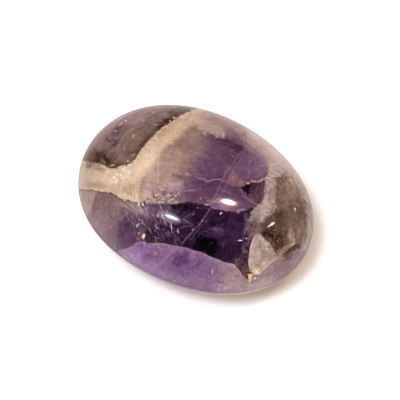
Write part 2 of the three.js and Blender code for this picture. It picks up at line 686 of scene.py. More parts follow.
# %% Drift the body's tones
colour = dabs("body_dabs", colour, [
    (228, 142, 22, 7, 27, 0.95, (58, 34, 54)), (237, 148, 9, 5, 32, 0.7, (48, 25, 46)),
    (208, 186, 18, 6, 4, 0.9, (62, 35, 66)), (246, 170, 24, 10, 10, 0.7, (102, 76, 104)),
    (194, 143, 12, 12, 15, 0.5, (110, 88, 86)), (182, 176, 12, 6, 10, 0.5, (108, 84, 92)),
    (182, 197, 10, 5, 0, 0.6, (112, 90, 106)), (195, 195, 12, 4, 0, 0.7, (82, 55, 82)),
    (226, 206, 18, 6, 5, 0.7, (112, 86, 108)), (244, 198, 13, 8, 10, 0.6, (84, 58, 86)),
    (160, 190, 18, 9, 0, 0.7, (158, 141, 135)), (174, 192, 7, 6, 0, 0.5, (140, 120, 130)),
    (172, 149, 15, 6, -42, 0.6, (124, 104, 94)), (186, 139, 16, 7, -42, 0.7, (114, 95, 87)),
    (196, 130, 9, 4, 20, 0.8, (110, 92, 82)), (178, 136, 8, 4, -40, 0.7, (150, 134, 121)),
    (184, 174.5, 12, 3, 8, 0.7, (102, 80, 80)), (187, 148, 7, 5, -20, 0.8, (106, 84, 78)),
    (218, 181, 7, 9, 0, 0.7, (72, 44, 66)), (232, 157, 11, 8, 20, 0.5, (74, 46, 68)),
    (237, 190, 9, 9, 0, 0.5, (68, 42, 64)), (259, 167, 10, 8, 45, 0.6, (120, 92, 110)),
    (251, 153, 12, 11, 45, 0.45, (120, 92, 108)), (163, 191, 7, 4, 0, 0.5, (132, 108, 112)),
    (180, 200.5, 11, 4, 0, 0.6, (90, 64, 90)), (172, 187, 14, 9, 0, 0.5, (138, 116, 126)),
    (163, 194, 7, 4, 0, 0.6, (126, 102, 106)), (243, 195, 12, 7, 0, 0.5, (70, 42, 66)),
    (218, 180, 7, 8, 0, 0.5, (68, 40, 62)), (147, 194, 6, 9, 0, 0.7, (170, 150, 138)),
    (172, 182, 9, 4, 0, 0.5, (160, 144, 144)), (150, 170, 12, 12, 0, 0.8, (163, 146, 131)),
    (168, 168, 9, 9, 0, 0.5, (146, 127, 117)),
])

# %% Streak the body along its growth
colour = worked(colour, clouds=0.05, mottles=0.14, grains=0.06, risings=0.07, shard_gleams=0.07)
ripple = swing(tree, drawn_out(10, 3.5), 1.2, 3.0, 0.6)
colour = scaled(tree, colour, calc(tree, "MULTIPLY_ADD", ripple, 0.09, 1.0))
colour = over(
    colour, (128, 102, 128), threads(leaning, scale=0.9, width=0.05, patch_scale=0.5, bare=0.50), 0.15
)
colour = over(colour, (146, 121, 138), strokes(drawn_out(18, 4.0), scale=1.0, low=0.55, high=0.75), 0.2)
colour = over(colour, (70, 44, 62), strokes(drawn_out(22, 5.0), scale=1.2, low=0.57, high=0.70), 0.28)
print("body:", len(tree.nodes), "nodes so far")

# %% [markdown]
# ## The pale shoulder
# Along the far side the purple fades to milky rose, and two crumbly patches of white quartz lie on the
# rim of the fade. The milkiness comes from countless tiny bubbles. Seen from outside it is simply a
# paler tone with a soft, wide edge, while the patches need rough edges and a curdled inside.

# %% Lay the shoulder
far_shoulder_zone = area("far_shoulder", [
    (247.5, 90), (340, 90), (340, 200), (262, 200), (249, 165), (247, 150),
], soft=1.6, crumble=0.8)["Mask"]
shoulder = lay(tree, tint(140, 121, 116), tint(146, 126, 130), far_shoulder_zone)
shoulder = dabs("shoulder_dabs", shoulder, [
    (214, 130, 11, 6, 20, 0.6, (154, 136, 134)), (236, 131, 14, 8, 28, 0.95, (116, 92, 108)),
    (236, 138, 12, 5, 28, 0.7, (98, 72, 92)), (253, 152, 14, 6, 50, 0.8, (118, 94, 116)),
    (262, 165, 12, 7, 50, 0.8, (114, 90, 112)), (262, 150, 14, 6, 45, 0.6, (150, 130, 126)),
    (276, 162, 10, 7, 50, 0.7, (160, 146, 138)), (205, 114, 16, 8, 20, 0.6, (152, 136, 124)),
    (200, 121, 9, 6, 0, 0.8, (178, 158, 142)), (270, 148, 20, 10, 45, 0.9, (190, 172, 166)),
    (292, 164, 14, 8, 52, 0.9, (190, 172, 166)), (246, 131, 18, 6, 32, 0.6, (160, 142, 142)),
])
shoulder = worked(shoulder, clouds=0.04, mottles=0.08, grains=0.04, risings=0.05)
shoulder_area = area("shoulder", [
    (185, 80), (340, 80), (340, 190), (290, 185), (282, 176), (272, 175), (266, 166), (259, 158),
    (252, 150), (245, 143), (236, 138), (228, 134), (214, 131), (204, 128), (196, 124), (185, 120),
], soft=5.0, crumble=3.0)
colour = lay(tree, colour, shoulder, shoulder_area["Mask"])

# %% Curdled patch on the shoulder
curd = area("curd", [
    (196, 124), (203, 121), (212, 122), (219, 125), (225.5, 131), (224.4, 138.2), (221, 136.6),
    (216, 137.4), (212.5, 133.6), (208, 132), (205, 135.2), (203.4, 131.6), (199, 130),
], soft=1.5, crumble=1.8)
curd_tone = worked(tint(152, 134, 130), mottles=0.12, grains=0.05, shard_gleams=0.08)
curd_tone = over(
    curd_tone, (172, 155, 151), threads(scale=1.2, width=0.16, patch_scale=1.2, bare=0.40), 0.5
)
curd_tone = over(curd_tone, (192, 176, 172), strokes(scale=2.0, low=0.52, high=0.64), 0.55)
colour = lay(tree, colour, curd_tone, times(curd["Mask"], front, 0.75))

# %% Crumbly patch at the far rim
crumb = area("crumb", [
    (266, 179.5), (267, 176), (269, 171), (269.5, 164), (273, 160), (279, 158.5), (284, 163), (287, 168),
    (288, 171.2), (283, 172.6), (281, 175.8), (274.4, 176.6),
], soft=1.4, crumble=2.0)
crumb_tone = worked(tint(164, 149, 140), mottles=0.16, grains=0.06, shard_gleams=0.12)
crumb_tone = over(
    crumb_tone, (182, 167, 158), threads(scale=1.1, width=0.16, patch_scale=1.4, bare=0.42), 0.7
)
crumb_tone = over(
    crumb_tone, (98, 82, 72), threads(scale=1.0, width=0.08, patch_scale=1.0, bare=0.42), 0.65
)
colour = lay(tree, colour, crumb_tone, times(crumb["Mask"], front))

# %% [markdown]
# ## The cream band
# This is the chevron that the stone is named for: milky quartz folded into a V. Iron has stained it
# lemon and rust in places, and where the V's point meets the dark zone it hangs in fibres like drips of
# wax. The band's edge towards the body is soft and wide, so its outline gets a wide fade. Its far edge
# is hidden later under the sharp edge of the smoky end.

# %% Stain the cream
band = tint(176, 160, 139)
band = dabs("band_dabs", band, [
    (148, 160, 17, 7, -45, 0.8, (197, 182, 161)), (127, 173, 7, 12, 10, 0.7, (199, 184, 165)),
    (85, 177, 9, 18, 0, 0.8, (156, 145, 133)), (95, 165.5, 10, 4.5, 8, 0.85, (132, 113, 102)),
    (104, 176, 13, 6, 0, 0.4, (184, 166, 146)), (127, 188, 11, 7, 0, 0.8, (164, 146, 126)),
    (126, 166, 11, 4, -15, 0.5, (160, 142, 124)), (161.5, 133, 6, 4, -45, 0.9, (166, 130, 92)),
    (157, 142, 6, 3, -40, 0.4, (182, 158, 132)), (172, 131, 13, 5, -40, 0.4, (188, 166, 142)),
    (190, 116, 16, 6, -30, 0.6, (166, 150, 134)), (99, 186.5, 16, 4.5, 2, 0.8, (152, 134, 112)),
    (118, 186, 4, 3, 0, 0.8, (158, 132, 104)), (150, 173, 6, 8, 0, 0.4, (176, 158, 140)),
    (115, 182, 6, 4, 0, 0.8, (212, 193, 170)), (127, 190, 10, 7, 0, 0.8, (150, 128, 106)),
    (168, 129, 11, 6, -45, 0.7, (152, 126, 98)), (92, 165, 12, 5, 5, 0.8, (124, 104, 90)),
    (104, 167, 8, 4, 5, 0.5, (132, 110, 92)),
])

# %% Texture the cream and let it drip
band = worked(band, clouds=0.03, mottles=0.11, grains=0.06, steeps=0.03, shard_gleams=0.05)
band = over(band, (158, 136, 112), threads(scale=1.3, width=0.05, patch_scale=1.0, bare=0.48), 0.5)
band = over(band, (214, 200, 180), threads(scale=1.9, width=0.06, patch_scale=1.2, bare=0.48), 0.35)
drip_area = area("drips", [
    (122, 178), (130, 176), (138, 181), (142, 186), (147, 203), (116, 200), (119, 190),
], soft=4, crumble=2)["Mask"]
band = over(
    band, (198, 180, 156), drip_area,
    threads(drawn_out(-98, 6.0), scale=1.5, width=0.12, patch_scale=0.9, bare=0.35), 0.8
)
band = over(
    band, (146, 126, 108), drip_area,
    threads(drawn_out(-100, 6.0), scale=1.9, width=0.08, patch_scale=1.2, bare=0.42), 0.6
)

# %% Lay the band on the body
cream = area("cream", [
    (40, 140), (133, 140), (150, 120), (190, 80), (225, 90), (204, 110), (198, 117), (191, 123.5),
    (184, 129.5), (176, 137), (170, 143), (162.5, 150), (158, 158), (153, 166), (148, 172), (143, 178),
    (139, 183), (138.5, 190), (141, 212), (40, 212),
], soft=3.2, crumble=1.6)
colour = lay(tree, colour, band, cream["Mask"])


# %% Draw a thin line
LINE_TIP = 0.05  # a line fades in and out from this far within its ends, in sheet units


def line(name, corners, width, soft, wobble=0.5, fade=4.0):
    """The mask of a thin line through these places on the sheet; it fades in and out at its ends."""
    gap, along, side = nearest_on_line(places, np.array(corners, float))
    store(name, gap * side)
    store(name + "_along", along)
    reach = stored(name + "_along")
    off = calc(tree, "ABSOLUTE", calc(tree, "MULTIPLY_ADD", bites, wobble, stored(name)))
    total = sum(math.dist(start, end) for start, end in zip(corners[:-1], corners[1:]))
    body = ramp(tree, off, width, width + soft, 1.0, 0.0)
    ends = times(
        ramp(tree, reach, LINE_TIP, fade), ramp(tree, reach, total - fade, total - LINE_TIP, 1.0, 0.0)
    )
    print("line", name + ":", round(total * FRAME_WIDTH / SHEET / MM, 1), "mm")
    return times(body, ends, front, patchy)


seam_line = line("seam", [
    (158.6, 156), (158, 166), (158.3, 176), (157.6, 187),
], width=0.2, soft=1.1, wobble=0.25, fade=6)
colour = over(colour, (178, 161, 145), seam_line, 0.5)


# %% Hang a few single fibres
def marks(name, under, items, core=0.25):
    """Small sharp marks in their exact places, on the face only."""
    return gathered(name, under, EXACT, one_patch, [(*item[:7], core) for item in items])


FIBRES = [(124.5, 182, 6), (128, 186, 7), (131.6, 189, 8), (135.4, 191, 8), (137.6, 196, 5)]
fibre_marks = [(x, y, 1.0, length, -9, 0.45, (206, 190, 166)) for x, y, length in FIBRES]
colour = marks("fibre_marks", colour, fibre_marks, 0.0)

# %% [markdown]
# ## The smoky end
# Natural radiation turned this end smoky brown. It is darkest along the band, where faint arcs of growth
# show in it, and small bright glints, painted as pale marks, lie just under its skin. Its border with the
# band is the crispest line on the stone, so this zone has a narrow edge and is laid over the band. The
# zone's own depth makes the dark seam beside the band and the grit on the border.

# %% Drift the smoke
smoke = tint(108, 90, 84)
smoke = dabs("smoke_dabs", smoke, [
    (98, 156, 17, 9, 5, 1, (64, 42, 32), 0.2), (97, 157, 5, 7, 0, 0.8, (50, 28, 20)),
    (108, 162, 8, 4, 10, 0.9, (44, 22, 16)), (117, 135, 14, 6, -58, 1, (84, 63, 74)),
    (120, 126, 12, 3.5, -18, 0.8, (84, 64, 70)), (113, 143, 5, 4, -30, 0.9, (62, 40, 50)),
    (108, 148, 9, 7, 0, 0.4, (104, 86, 80)), (146, 141, 19, 6, -50, 0.9, (86, 65, 54)),
    (134, 151, 10, 6, -40, 0.8, (76, 56, 46)), (165, 122, 13, 6, -38, 1, (50, 30, 22), 0.3),
    (180, 111, 14, 4, -25, 0.9, (80, 60, 52)), (148, 112, 34, 6, -10, 0.8, (130, 113, 116)),
    (106, 129, 26, 7, -48, 0.9, (130, 112, 117)), (88, 150, 5, 12, 20, 0.5, (122, 104, 100)),
    (145, 128, 14, 8, 0, 0.5, (116, 97, 90)), (121, 160, 10, 5, 0, 0.5, (112, 94, 88)),
    (106, 161, 14, 5, 6, 0.9, (44, 26, 20)), (94, 147, 6, 14, 22, 0.5, (102, 84, 82)),
    (134, 121, 9, 4, -12, 0.7, (136, 116, 120)), (157, 123, 7, 4, -35, 0.5, (88, 68, 62)),
])

# %% Draw the arcs of growth
smoke = worked(smoke, clouds=0.05, mottles=0.17, grains=0.09, risings=0.14, shard_gleams=0.08)
smoke = over(
    smoke, (132, 113, 109), threads(leaning, scale=0.8, width=0.06, patch_scale=0.6, bare=0.48), 0.4
)
for name, corners in {
    "arc_inner": [(116, 152), (119, 145), (123.5, 137), (130, 130.5), (140, 126)],
    "arc_outer": [(121, 152), (125, 143.5), (130, 136), (136, 130.5)],
    "arc_low": [(108, 128), (116, 124.5), (124, 123), (134, 125.5)],
}.items():
    smoke = over(smoke, (140, 122, 117), line(name, corners, width=0.3, soft=1.8, wobble=0.6, fade=6), 0.45)


# %% Sprinkle flecks
def flecks(scale, size, kept):
    """The mask of scattered flecks."""
    return use(tree, flecks_group, Place=place_mm, Scale=scale, Size=size, Kept=kept)["Mask"]


smoke = over(smoke, (172, 153, 156), flecks(scale=0.75, size=0.2, kept=0.28), 0.6)
print("smoke:", len(tree.nodes), "nodes so far")

# %% Lay the smoky end and grit its border
smoky_left = area("smoky_left", [
    (40, 60), (225, 60), (207, 98), (196, 109), (187, 112.4), (181, 116), (175.8, 119), (173, 120.8),
    (168, 125), (162.4, 128), (157.2, 131.8), (149.4, 140.2), (141.8, 149.4), (138, 155), (135.2, 159.6),
    (132.3, 162.4), (127.7, 164.4), (121.9, 166), (117.3, 167.8), (113.3, 169), (109.8, 168.2),
    (106.5, 166.6), (103.6, 165.4), (99, 164.4), (94.9, 163), (89, 161.8), (83, 161), (40, 163),
], soft=0.7, crumble=0.9)
near_band = ramp(tree, smoky_left["Depth"], 0.5, 7.0, 0.62, 0.0)
smoke = over(smoke, (56, 34, 24), near_band)
colour = lay(tree, colour, smoke, smoky_left["Mask"])
GRIT_OFFSET = 1.2  # the grit lies this far outside the border, in sheet units
off_border = calc(tree, "ABSOLUTE", calc(tree, "ADD", smoky_left["Depth"], GRIT_OFFSET))
grit = times(ramp(tree, off_border, 0.6, 2.8, 1.0, 0.0), front)
colour = over(
    colour, (212, 196, 180), grit, threads(scale=2.1, width=0.10, patch_scale=1.6, bare=0.44), 0.75
)
colour = over(colour, (146, 112, 80), grit, threads(scale=1.7, width=0.07, patch_scale=1.2, bare=0.47), 0.7)

# %% Painted glints and specks in the smoke and the cream
# The white and pale marks are painted glints of light; the dark and brown ones are specks of the stone's
# own colour.
colour = marks("painted_glints_and_specks", colour, [
    (125.5, 120.5, 1.1, 1, 0, 1, (220, 205, 215)), (120.8, 123.8, 3.6, 0.9, -48, 0.7, (176, 156, 166)),
    (115.5, 131.1, 1.1, 1, 0, 0.9, (195, 175, 185)), (116, 137.8, 2, 0.8, 45, 0.8, (166, 144, 156)),
    (109.2, 136, 0.9, 3, 5, 0.5, (140, 122, 122)), (143, 120.8, 2.4, 2, 30, 0.5, (160, 142, 144)),
    (133.4, 136.2, 2.2, 0.8, -52, 0.8, (180, 160, 160)),
    (124.3, 149.5, 1.2, 1.8, 0, 0.5, (146, 126, 128)), (152.5, 112.5, 1.3, 1, 0, 0.5, (170, 152, 158)),
    (154.4, 124.5, 1, 0.9, 0, 0.8, (182, 166, 172)), (156.8, 125.2, 1.3, 0.9, 0, 0.7, (166, 146, 150)),
    (165, 114, 0.8, 1.6, 20, 0.5, (160, 142, 144)), (161.5, 120.8, 2.2, 1, -10, 0.5, (140, 120, 116)),
    (128, 161.3, 1.3, 0.9, 20, 0.9, (205, 182, 178)), (105, 162.8, 1, 1.4, 0, 0.7, (140, 116, 106)),
    (133, 155, 3.4, 0.8, -12, 0.6, (160, 136, 124)), (112.7, 165.2, 2.8, 0.8, -14, 0.9, (186, 160, 142)),
    (113.3, 167.2, 3, 0.9, -4, 0.9, (46, 24, 16)), (174.2, 117.8, 2.4, 0.8, 28, 0.9, (214, 196, 184)),
    (170, 121, 0.9, 1.4, 0, 0.8, (205, 186, 168)), (165.8, 126.6, 2, 1.4, 30, 0.8, (206, 176, 140)),
    (142.6, 149, 0.9, 1.6, 20, 0.8, (210, 188, 170)), (114.4, 177, 1.4, 1.7, 0, 1, (196, 192, 250)),
    (117.2, 174.4, 1.2, 0.9, 0, 1, (232, 222, 218)), (120.7, 175.2, 0.9, 1.2, 0, 1, (235, 220, 216)),
    (121.6, 177.8, 1.1, 1.1, 0, 0.9, (222, 212, 214)), (117.3, 176.9, 2, 1.4, 0, 0.7, (186, 146, 112)),
    (123.6, 169.4, 1.1, 1, 0, 0.9, (228, 220, 222)), (129.4, 173.1, 0.9, 1, 0, 0.8, (222, 218, 214)),
    (125, 176.5, 0.8, 1, 0, 0.7, (222, 214, 206)), (123.6, 184.8, 0.8, 1.6, 5, 0.9, (222, 206, 190)),
    (135.8, 185.5, 0.8, 1.2, 0, 0.7, (214, 194, 178)), (94.7, 181.4, 1.2, 0.9, 20, 0.7, (205, 190, 170)),
])

# %% [markdown]
# ## The dark zone
# Clear, deep purple quartz looks nearly black, because little light comes back out of it. Its left part
# is cloudy and paler, and thin veils of bubbles catch the light in it as combed strokes. A very dark
# tone needs care: a little noise on it looks like a lot, so its amounts are multiplied and not added.
# Three wide zones set the tones, dabs shape them, and strokes along a few directions comb them.

# %% Divide plum, ink and the painted rim light of the pale left rim
plum_zone = area("plum", [
    (132, 190), (145, 190), (270, 190), (270, 300), (108, 300), (114, 240), (117, 226), (120, 216),
    (125, 210), (131, 205),
], soft=5, crumble=1.5)["Mask"]
deep = lay(tree, tint(108, 90, 92), tint(78, 56, 76), plum_zone)
ink_zone = area("ink", [
    (166, 190), (275, 190), (262, 250), (252, 290), (150, 290), (146, 240), (158, 222),
], soft=9, crumble=4)["Mask"]
deep = over(deep, (36, 18, 42), ink_zone)
# Painted rim light: the pale band along the left limb stands for light coming through the thin edge.
left_rim_light_zone = area("left_rim_light", [
    (40, 180), (97, 180), (96, 193), (93.2, 202), (91.5, 208), (89.8, 214), (88, 218), (80, 222),
    (40, 222),
], soft=1.4, crumble=1.4)["Mask"]
deep = over(deep, (138, 121, 113), left_rim_light_zone)

# %% Drift the dark tones
deep = dabs("deep_dabs", deep, [
    (102, 222, 14, 10, 60, 0.7, (122, 102, 112)), (104, 203, 10, 9, 0, 0.6, (108, 88, 88)),
    (104, 240, 11, 7, 50, 0.5, (112, 91, 106)), (127, 213, 5, 6, 10, 0.7, (64, 42, 62)),
    (127, 226, 7, 7, 10, 0.6, (66, 44, 68)), (146, 212, 5, 9, -20, 0.7, (118, 100, 104)),
    (154, 210, 9, 5, 0, 0.5, (74, 54, 72)), (150, 234, 8, 9, 10, 0.9, (32, 15, 34), 0.3),
    (159, 233, 5, 9, 0, 0.6, (66, 46, 70)), (164, 218, 10, 5, 50, 0.6, (110, 92, 112)),
    (184, 208, 13, 6, 0, 0.95, (13, 4, 15)), (200, 214, 8, 10, 20, 0.7, (17, 6, 20)),
    (207, 245, 15, 8.5, 18, 1, (5, 1, 7), 0.6), (213, 225, 6, 4, 0, 0.8, (14, 4, 18)),
    (178, 241, 7, 5, 10, 0.6, (30, 14, 34)), (170, 234, 10, 9, 20, 0.6, (58, 38, 66)),
    (216, 231, 10, 5, 10, 0.7, (62, 42, 70)), (232, 226, 13, 8, 10, 0.5, (46, 26, 54)),
    (236, 238, 14, 10, 10, 0.7, (50, 30, 58)), (230, 252, 13, 6, 20, 0.5, (32, 15, 34)),
    (248, 228, 5, 9, 12, 0.85, (98, 76, 86)), (248, 222, 5, 4, 0, 0.8, (100, 80, 88)),
    (247, 252, 4, 9, 5, 0.7, (76, 55, 64)), (239, 266, 8, 5, 30, 0.8, (66, 44, 46)),
    (244, 271, 4, 3, 30, 0.9, (60, 38, 34)), (169, 210, 5, 8, -30, 0.8, (104, 82, 104)),
    (157, 235, 9, 7, 0, 0.8, (38, 18, 40)), (176, 242, 5, 4, 0, 0.8, (84, 56, 86)),
    (193, 229, 9, 10, 0, 0.4, (36, 18, 40)), (142, 226, 8, 9, 0, 0.7, (66, 44, 64)),
    (144, 207, 4, 5, 0, 0.7, (88, 66, 76)), (121, 208, 6, 12, 10, 0.7, (120, 98, 104)),
    (246, 247, 3.5, 5, 20, 0.8, (98, 74, 84)), (252, 233, 4, 7, 10, 0.6, (112, 88, 92)),
    (189, 216, 5, 4, -30, 0.6, (60, 42, 62)), (108, 243, 13, 6, 50, 0.7, (100, 80, 94)),
    (100, 232, 7, 10, -30, 0.5, (114, 92, 108)), (249, 229, 6, 9, 20, 0.6, (94, 72, 90)),
    (145, 220, 7, 6, 0, 0.6, (62, 42, 60)), (130, 233, 7, 6, 0, 0.5, (70, 46, 70)),
    (163, 204.5, 6, 2.6, 0, 0.7, (64, 42, 54)), (135, 206, 6, 7, 40, 0.6, (124, 104, 104)),
    (180, 221, 8, 5, 20, 0.5, (66, 46, 68)), (203, 206.5, 9, 3, 5, 0.8, (50, 30, 50)),
    (221, 213, 5, 2.6, 0, 0.7, (40, 22, 42)), (249, 218, 4, 4, 0, 0.6, (80, 58, 70)),
    (238, 265, 9, 5, 30, 0.7, (76, 52, 58)),
])

# %% Painted shard gleams and soft threads in the dark
deep = worked(deep, clouds=0.10, mottles=0.20, grains=0.06, steeps=0.06)
shard_gleam_share = ramp(tree, across, 105, 135, 0.06, 0.24)
deep = scaled(tree, deep, calc(tree, "MULTIPLY_ADD", shard_gleam, shard_gleam_share, 1.0))
deep = over(deep, (102, 80, 110), threads(scale=0.75, width=0.04, patch_scale=0.5, bare=0.47), 0.2)
deep = over(
    deep, (8, 2, 10), strokes(drawn_out(-60, 2.5), scale=0.9, low=0.52, high=0.66),
    ramp(tree, across, 112, 142, 0.0, 0.4)
)
deep = dabs("deep_black", deep, [(207, 247, 15, 8, 15, 0.85, (4, 1, 6), 0.5)])

# %% Comb pale strokes through it
comb = area("comb", [
    (132, 200), (146, 200), (162, 204), (172, 212), (176, 224), (170, 236), (156, 243), (136, 240),
    (130, 224), (122, 212),
], soft=4, crumble=3)["Mask"]
deep = over(
    deep, (112, 92, 116), comb, strokes(drawn_out(64, 2.4), scale=1.3, low=0.50, high=0.70, rough=0.7),
    0.3
)
deep = over(
    deep, (178, 160, 182), comb, strokes(drawn_out(70, 4.0), scale=3.0, low=0.56, high=0.73, rough=0.7),
    0.6
)
deep = over(
    deep, (150, 132, 138), ramp(tree, across, 112, 140, 1.0, 0.0),
    strokes(drawn_out(44, 4.0), scale=2.4, low=0.56, high=0.72, rough=0.7), 0.75
)
deep = over(
    deep, (196, 182, 202), comb, strokes(drawn_out(78, 2.0), scale=4.2, low=0.61, high=0.75, rough=0.8),
    0.6
)
teeth_zone = area("teeth", [
    (121, 190), (146, 190), (149, 204), (147, 216), (141, 213), (134, 207), (128, 208), (122, 203),
], soft=3, crumble=2)["Mask"]
deep = over(
    deep, (148, 134, 124), teeth_zone, strokes(drawn_out(52, 5.0), scale=1.8, low=0.47, high=0.61), 0.75
)
deep = over(deep, (186, 170, 192), flecks(scale=0.9, size=0.17, kept=0.16), 0.6)

# %% Lay the dark zone with its ragged upper edge
gravel = area("gravel", [
    (226, 262), (233, 258), (243, 258), (250, 250), (252, 275), (242, 275), (236, 268),
], soft=1.5, crumble=2)["Mask"]
deep = over(deep, (116, 94, 92), gravel, strokes(scale=1.5, low=0.50, high=0.66), 0.55)
lower = area("lower", [
    (40, 189), (80, 189.3), (90.4, 189.6), (95.5, 190), (97, 191), (101, 191.6), (111, 192.4),
    (114, 194.6), (118, 195.9), (120.6, 198.6), (127, 200), (131, 200.5), (134, 202.4), (138.6, 202.4),
    (143.7, 201.2), (147.2, 202.8), (152, 204), (158.6, 203.4), (166.1, 203.6), (174.7, 203.8),
    (179, 203.2), (187.9, 202.3), (192.5, 202.8), (195.9, 202.4), (199.9, 204.4), (205.1, 204.2),
    (210.9, 205), (212, 208.4), (218.9, 209.4), (226.9, 211.4), (236, 211.5), (238.6, 213.6),
    (241, 210.9), (248, 209.6), (252, 207), (266, 210), (262, 330), (40, 330),
], soft=0.6, crumble=1.1)
under_cream_zone = area("under_cream", [
    (60, 170), (130, 170), (134, 204), (110, 215), (60, 215),
], soft=6, crumble=1)["Mask"]
deep = over(deep, (70, 50, 46), ramp(tree, lower["Depth"], 0.4, 2.6, 0.7, 0.0), under_cream_zone)
colour = lay(tree, colour, deep, lower["Mask"])
lip_zone = area("lip", [
    (146, 196), (176, 194), (222, 196), (246, 200), (246, 216), (222, 216), (176, 210), (146, 210),
], soft=6, crumble=1)["Mask"]
LIP_OFFSET = 0.9  # the pale lip lies this far above the dark edge, in sheet units
off_edge = calc(tree, "ABSOLUTE", calc(tree, "ADD", lower["Depth"], LIP_OFFSET))
lip = times(ramp(tree, off_edge, 0.2, 1.3, 1.0, 0.0), lip_zone)
colour = over(colour, (156, 134, 140), lip, threads(scale=0.8, width=0.2, patch_scale=0.9, bare=0.36), 0.5)

# %% [markdown]
# ## The lilac wedge
# Below the dark zone a flat plane inside the stone throws the light back, so the same purple looks pale
# and lilac there. Its upper edge is where that plane meets the skin: sharp, thin and a little brighter
# than the rest. A narrow edge with hardly any crumble makes it, and a bright line follows just inside
# it.

# %% Drift the lilac
pale_purple = tint(112, 85, 123)
pink_end_zone = area("pink_end", [
    (208, 250), (222, 275), (222, 340), (400, 340), (400, 220), (240, 250),
], soft=10, crumble=3)["Mask"]
pale_purple = over(pale_purple, (130, 111, 118), pink_end_zone)
pale_purple = dabs("lilac_dabs", pale_purple, [
    (130, 256, 18, 9, 30, 0.9, (136, 112, 152)), (148, 256, 8, 8, 0, 0.7, (96, 66, 114)),
    (146, 246, 9, 4, 5, 0.6, (104, 76, 124)), (160, 250, 9, 5, 0, 0.7, (118, 88, 112)),
    (179, 260, 12, 10, 12, 0.9, (84, 52, 96), 0.2), (179, 264, 10, 5, 8, 0.6, (70, 38, 78)),
    (197, 263, 6, 10, 38, 0.8, (84, 53, 94)), (188, 251, 4, 8, 10, 0.5, (114, 84, 116)),
    (148, 268, 24, 6, 30, 0.4, (118, 90, 136)), (172, 271, 12, 6, 25, 0.4, (92, 68, 108)),
    (178, 281, 22, 6, 22, 0.4, (118, 94, 126)), (208, 271, 10, 7, 10, 0.6, (102, 74, 98)),
    (214, 283, 10, 6, 0, 0.4, (114, 90, 118)), (235, 272, 9, 7, 20, 0.8, (150, 131, 134)),
    (232, 283, 10, 7, 0, 0.4, (144, 126, 130)), (262, 280, 10, 6, -30, 0.7, (138, 126, 120)),
    (283, 265, 12, 8, -45, 0.6, (120, 99, 106)), (289, 256, 9, 4, -40, 0.7, (112, 92, 86)),
    (273, 268, 3, 8, 30, 0.7, (138, 122, 122)), (158, 253, 9, 8, 0, 0.6, (102, 70, 106)),
    (176, 275, 17, 10, 20, 0.5, (98, 68, 106)), (197, 286, 16, 5, 0, 0.6, (106, 80, 104)),
    (135, 252, 9, 6, 10, 0.6, (138, 108, 150)), (284, 267, 14, 9, -40, 0.7, (112, 88, 90)),
    (287.5, 255, 9, 3.4, -38, 0.8, (92, 68, 60)), (262, 286, 12, 6, -20, 0.6, (152, 136, 132)),
    (238, 288, 12, 6, 0, 0.6, (142, 122, 130)), (222, 290, 12, 5, 0, 0.6, (134, 112, 132)),
    (146, 270, 14, 7, 30, 0.6, (128, 102, 136)), (270, 264, 10, 4, -42, 0.5, (124, 104, 100)),
])

# %% Streak the lilac
pale_purple = worked(pale_purple, clouds=0.03, mottles=0.13, grains=0.06, risings=0.09, shard_gleams=0.10)
pale_purple = over(
    pale_purple, (148, 122, 152), strokes(drawn_out(-56, 7.0), scale=2.0, low=0.56, high=0.72), 0.6
)
pale_purple = over(
    pale_purple, (92, 62, 104), strokes(drawn_out(-75, 4.0), scale=1.4, low=0.58, high=0.70), 0.3
)
veined = area("veined", [
    (151, 240), (170, 243), (170, 252), (160, 262), (152, 256),
], soft=3, crumble=3)["Mask"]
pale_purple = over(
    pale_purple, (160, 134, 150), veined, strokes(drawn_out(-60, 2.5), scale=2.4, low=0.54, high=0.66),
    0.55
)

# %% Lay the wedge with its bright edge
lilac = area("lilac", [
    (40, 275), (115.6, 252.2), (121.9, 249.4), (128, 247.6), (133.4, 246), (134.4, 243.4), (137, 242),
    (144.9, 241.4), (147.4, 243), (155.5, 242.6), (158.6, 243.4), (164.4, 243.3), (173, 245.3),
    (182.1, 246.7), (190.2, 248.8), (192.6, 250.3), (201.7, 252.2), (207.4, 255.1), (212, 257.4),
    (218.9, 259.7), (224.6, 262.4), (230.4, 263.4), (234.6, 264.2), (236.6, 267), (240.6, 270.6),
    (242, 275), (247, 279), (257, 277), (262.5, 272.6), (277.5, 257.4), (285, 252), (300, 246),
    (330, 225), (360, 225), (360, 340), (40, 340),
], soft=0.5, crumble=0.5)
EDGE_INSET = 0.7  # the bright line runs this far inside the edge, in sheet units
off_glow = calc(tree, "ABSOLUTE", calc(tree, "SUBTRACT", lilac["Depth"], EDGE_INSET))
pale_purple = over(pale_purple, (146, 120, 146), ramp(tree, off_glow, 0.2, 1.4, 0.28, 0.0))
colour = lay(tree, colour, pale_purple, lilac["Mask"])
